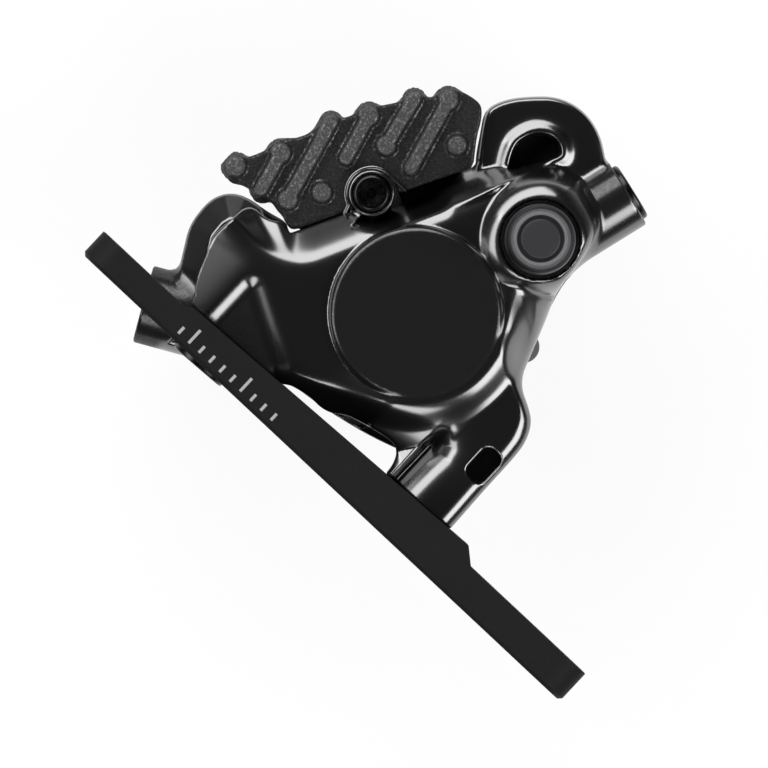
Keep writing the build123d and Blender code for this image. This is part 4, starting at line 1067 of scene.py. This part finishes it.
core_radius, thread_pitch, thread_tooth = 2.2, 0.8, 0.27
fixing_x, fixing_sunk = (-22.6, 11.4), 3.2
seat_normal = Vector((-math.sin(seat_slope), 0, math.cos(seat_slope)))
on_seat = [Vector((x, 0, seat_height + x * math.tan(seat_slope))) for x in fixing_x]
fixing_places = [place - fixing_sunk * seat_normal for place in on_seat]
clamp_heads = [(x, rotor_y + clamp_seat_depth, z) for x, z in clamp_places]
to_the_back, upwards = (0, 0, math.pi), (math.pi / 2, -seat_slope, 0)
clamp_screws = socket_screws("clamp_screws", clamp_heads, to_the_back, 12.0, 4.0, 4.0, 2.4)
fixing_screws = socket_screws("fixing_screws", fixing_places, upwards, 10.5, 4.2, 2.6, 1.6)

# %% [markdown]
# # The wire clip
# A bent spring wire keeps the axle from turning out. On the real part it is one length of wire, so
# a tree rounds a few given corners and sweeps a circle along them.

# %% Wire clip round the axle's boss
wire = Growth("bent_wire", Wire_radius="NodeSocketFloat", Bend_radius="NodeSocketFloat")
route = wire.node("GeometryNodeMeshToCurve", None, {0: wire.given("Geometry")})
route = wire.node("GeometryNodeFilletCurve", {"mode": "POLY"},
                  {"Curve": route, "Count": 4, "Radius": wire.given("Bend_radius")})
ring = wire.node("GeometryNodeCurvePrimitiveCircle", None,
                 {"Resolution": 12, "Radius": wire.given("Wire_radius")})
drawn = wire.node("GeometryNodeCurveToMesh", None, {"Curve": route, "Profile Curve": ring, "Fill Caps": True})
wire.end(drawn, bright_steel)
clip_radius, clip_y = 3.5, -1.65
clip_angles = [math.radians(angle) for angle in range(90, 257, 10)]
clip_path = [(3.2, clip_radius)]
clip_path.extend((clip_radius * math.cos(angle), clip_radius * math.sin(angle)) for angle in clip_angles)
clip_path.append((clip_path[-1][0] + 0.33, clip_path[-1][1] - 1.15))
clip_path.append((clip_path[-1][0] + 0.85, clip_path[-1][1] - 0.3))
clip_points = [(axle_x + a, clip_y, axle_z + b) for a, b in clip_path]
clip_edges = [(k, k + 1) for k in range(len(clip_points) - 1)]
snap_ring = wire.grow("axle_wire_clip", clip_points, clip_edges, Wire_radius=0.3 * MM, Bend_radius=0.5 * MM)

# %% [markdown]
# # Softer edges on the bracket
# The bracket keeps its CAD shape. A copy of it is cleaned into large flat faces, and a bevel
# rounds every sharp edge, because no machined edge is perfectly sharp.

# %% Bracket
def eased(name, node, width):
    """A copy of a CAD node with its sharp edges rounded, as a plain mesh."""
    mesh = nodes[node].data.copy()
    bm = bmesh.new()
    bm.from_mesh(mesh)
    bmesh.ops.remove_doubles(bm, verts=bm.verts, dist=0.002 * MM)
    bmesh.ops.dissolve_limit(bm, angle_limit=math.radians(1.5), verts=bm.verts, edges=bm.edges)
    bmesh.ops.recalc_face_normals(bm, faces=bm.faces)
    bm.to_mesh(mesh)
    bm.free()
    if mesh.has_custom_normals:
        mesh.attributes.remove(mesh.attributes["custom_normal"])
    mesh.polygons.foreach_set("use_smooth", np.ones(len(mesh.polygons), bool))
    carrier = bpy.data.objects.new(name + "_sharp", mesh)
    bpy.context.scene.collection.objects.link(carrier)
    bevel = carrier.modifiers.new("bevel", "BEVEL")
    bevel.width, bevel.segments, bevel.angle_limit = width * MM, 3, math.radians(35)
    bevel.harden_normals = True
    eased_mesh = bpy.data.meshes.new_from_object(carrier.evaluated_get(bpy.context.evaluated_depsgraph_get()))
    bpy.data.objects.remove(carrier)
    piece = bpy.data.objects.new(name, eased_mesh)
    bpy.context.scene.collection.objects.link(piece)
    print(name, "with", len(eased_mesh.polygons), "faces")
    return piece


bracket = eased("bracket_plate", "mount_bracket", 0.45)

# %% [markdown]
# # Dressing the pieces
# Each piece gets its finish, rides on its CAD body and stands for its node.

# %% Dress
def dress(piece, finish, body=None, *stands_for, slot=None):
    piece.data.materials.clear()
    piece.data.materials.append(finish.material)
    if body:
        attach(piece, body)
    if stands_for:
        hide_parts(*stands_for)
    return piece


def dress_node(name, finish):
    mesh = nodes[name].data
    mesh.materials.clear()
    mesh.materials.append(finish.material)


dress(outer_half, paint, "caliper", "outer_body_half", slot="body")
dress(inner_half, paint, "caliper", "inner_body_half", slot="body")
dress(outer_fin, cast_grey, "outer_pad", "outer_pad_fin", slot="fin_aluminium")
dress(inner_fin, cast_grey, "inner_pad", "inner_pad_fin", slot="fin_aluminium")
dress(bleed_cap, cap_rubber, "bleed_cap", "bleed_cap", slot="cap_rubber")
dress(pad_axle, black_screw, "caliper", "pad_axle", slot="screw_steel")
dress(clamp_screws, black_screw, "caliper", "body_bolts", slot="bolt_steel")
dress(fixing_screws, black_screw, "caliper", "caliper_fixing_bolts", slot="bolt_steel")
dress(snap_ring, bright_steel, "caliper", "axle_snap_ring", slot="spring_steel")
dress(bracket, anodised, "caliper", "mount_bracket", slot="bracket")
for side in ("outer", "inner"):
    for part, finish in (("piston_seal", seal_rubber), ("piston", ceramic), ("pad_plate", plate_steel),
                         ("pad_lining", lining)):
        dress_node(side + "_" + part, finish)
for name, finish in (("crossover_seal", seal_rubber), ("gallery_plug_seal", seal_rubber),
                     ("bleed_nipple", nipple_steel), ("gallery_plug", black_screw)):
    dress_node(name, finish)

# %% [markdown]
# # The spring between the pads
# The pads press a thin leaf spring as they close on the rotor. Its copy rides on the caliper as a mesh of its
# own.

# %% Pad spring
leaf_spring = bpy.data.objects.new("pad_leaf_spring", nodes["pad_spring"].data.copy())
bpy.context.scene.collection.objects.link(leaf_spring)
dress(leaf_spring, bright_steel, "caliper", "pad_spring", slot="spring_steel")
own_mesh(leaf_spring)

# %% [markdown]
# # Camera
# The picture was taken square to the rotor, with the bracket running down to the right. The
# camera looks along +Y from far away, rolled by 43 degrees. Its right and up axes are written out.

# %% Camera
roll = math.radians(43.13)
right = Vector((math.cos(roll), 0, math.sin(roll)))
up = Vector((-math.sin(roll), 0, math.cos(roll)))
lens = 700.0
pixels_per_mm = 7.4
camera_distance = 768 * lens / 36.0 / pixels_per_mm
camera_data = bpy.data.cameras.new("studio_camera")
camera_data.lens = lens
camera_data.sensor_width = 36.0
camera_data.clip_start = 0.01
camera_data.clip_end = 10.0
camera = bpy.data.objects.new("studio_camera", camera_data)
camera.matrix_world = Matrix((
    (right.x, up.x, 0.0, -2.24 * MM), (right.y, up.y, -1.0, (-5.0 - camera_distance) * MM),
    (right.z, up.z, 0.0, 15.04 * MM), (0, 0, 0, 1)))
bpy.context.scene.collection.objects.link(camera)
bpy.context.scene.camera = camera
print("camera", round(camera_distance), "mm away")


# %% [markdown]
# # Light
# Gloss black shows only what it mirrors, so the lamps are long soft boxes, each placed where its
# reflection draws one of the bright lines on the castings. The white backdrop behind the object
# lights the slopes that turn away from the camera.

# %% Soft boxes
lamp_distance = 0.7
front = Vector((0, -1, 0))


def soft_box(name, toward, size, power):
    """A lamp that stands in a direction from the object and faces it."""
    lamp = bpy.data.lights.new(name, "AREA")
    lamp.shape = "RECTANGLE"
    lamp.size, lamp.size_y = size
    lamp.energy = power
    box = bpy.data.objects.new(name, lamp)
    toward = Vector(toward).normalized()
    aim = Vector((-5 * MM, 0, 25 * MM))
    turn = toward.to_track_quat("Z", "Y").to_matrix().to_4x4()
    box.matrix_world = Matrix.Translation(aim + toward * lamp_distance) @ turn
    bpy.context.scene.collection.objects.link(box)
    print(name, power, "W")


soft_box("top_box", 0.7 * front + 1.0 * up - 0.35 * right, (0.5, 0.9), 6.4)
soft_box("right_box", 0.85 * front + 1.0 * right - 0.5 * up, (0.42, 0.6), 4.4)
soft_box("left_box", 0.7 * front - 1.0 * right + 0.1 * up, (0.3, 0.6), 2.2)
soft_box("low_box", 0.8 * front - 1.0 * up - 0.15 * right, (0.6, 0.24), 1.8)
soft_box("back_box", -0.8 * front + 0.7 * up + 0.3 * right, (0.5, 0.4), 2.0)

# %% [markdown]
# # Floor
# The caliper lies on its far side on a pale table, and the camera looks straight down on it. The
# table is white to the camera and in reflections, with a share of plain paint that keeps the shadow.
# Seen from below, the table is clear, so that the far side of the caliper can be looked at too.

# %% Pale floor
floor_y = cad_box[1][1] + 0.3 * MM
floor_z, floor_half = 0.03, 0.11
floor_mesh = bpy.data.meshes.new("studio_floor")
floor_corners = [(floor_half * side_x, floor_y, floor_z + floor_half * side_z)
                 for side_x, side_z in ((-1, -1), (1, -1), (1, 1), (-1, 1))]
floor_mesh.from_pydata(floor_corners, [], [(0, 1, 2, 3)])
floor = bpy.data.objects.new("studio_floor", floor_mesh)
bpy.context.scene.collection.objects.link(floor)


def seen_by(owner, *rays):
    """1 for these kinds of rays and 0 for all others."""
    path = owner.tree.nodes.new("ShaderNodeLightPath")
    kinds = [Value(owner, path.outputs[f"Is {ray} Ray"]) for ray in rays]
    seen = kinds[0]
    for kind in kinds[1:]:
        seen = seen.over(kind)
    return seen


floor_paint = Finish("floor_paint")
floor_paint.set(colour=grey(0.8), roughness=0.9, specular=0.1)
floor_glow = floor_paint.node("ShaderNodeEmission", None, {"Color": (1, 1, 1, 1), "Strength": 1.0})
floor_white = seen_by(floor_paint, "Camera", "Glossy", "Transmission") * 0.9
floor_plain = Value(floor_paint, floor_paint.shader.outputs[0])
floor_look = floor_paint.node("ShaderNodeMixShader", None, {0: floor_white, 1: floor_plain, 2: floor_glow})
floor_back = floor_paint.node("ShaderNodeNewGeometry", output="Backfacing")
floor_clear = floor_back.over(seen_by(floor_paint, "Shadow"))
nothing = floor_paint.node("ShaderNodeBsdfTransparent")
floor_look = floor_paint.node("ShaderNodeMixShader", None, {0: floor_clear, 1: floor_look, 2: nothing})
floor_paint.tree.links.new(floor_look.socket, floor_paint.out.inputs[0])
floor_mesh.materials.append(floor_paint.material)
print("floor", round(floor_y / MM, 1), "mm behind the bracket's middle")

# %% [markdown]
# # Surroundings
# The world is white to the camera and to reflections that look past the object. As a lamp it is only a
# pale glow from behind, so that it doesn't wash out the blacks.

# %% White surroundings
world = bpy.data.worlds.new("white_studio")
bpy.context.scene.world = world
world.use_nodes = True
sky = Nodes()
sky.tree = world.node_tree
sky.tree.nodes.clear()
way = sky.node("ShaderNodeTexCoord", output="Generated")
backwards = sky.node("ShaderNodeSeparateXYZ", None, {0: way}, output=1)
glow = sky.node("ShaderNodeMapRange", {"interpolation_type": "SMOOTHSTEP"},
                {0: backwards, 1: -0.1, 2: 0.8, 3: 0.01, 4: 0.8})
room = sky.node("ShaderNodeBackground", None, {"Color": glow, "Strength": 1.0})
white = sky.node("ShaderNodeBackground", None, {"Color": (1, 1, 1, 1), "Strength": 1.0})
behind = sky.node("ShaderNodeMapRange", None, {0: backwards, 1: 0.3, 2: 0.8})
white_share = seen_by(sky, "Camera", "Transmission").over(seen_by(sky, "Glossy") * behind)
sky_look = sky.node("ShaderNodeMixShader", None, {0: white_share, 1: room, 2: white})
sky_out = sky.tree.nodes.new("ShaderNodeOutputWorld")
sky.tree.links.new(sky_look.socket, sky_out.inputs[0])
print("surroundings with", len(sky.tree.nodes), "nodes")
bpy.context.scene.view_settings.view_transform = "Standard"

# %% CAD box
print("CAD box", cad_box)
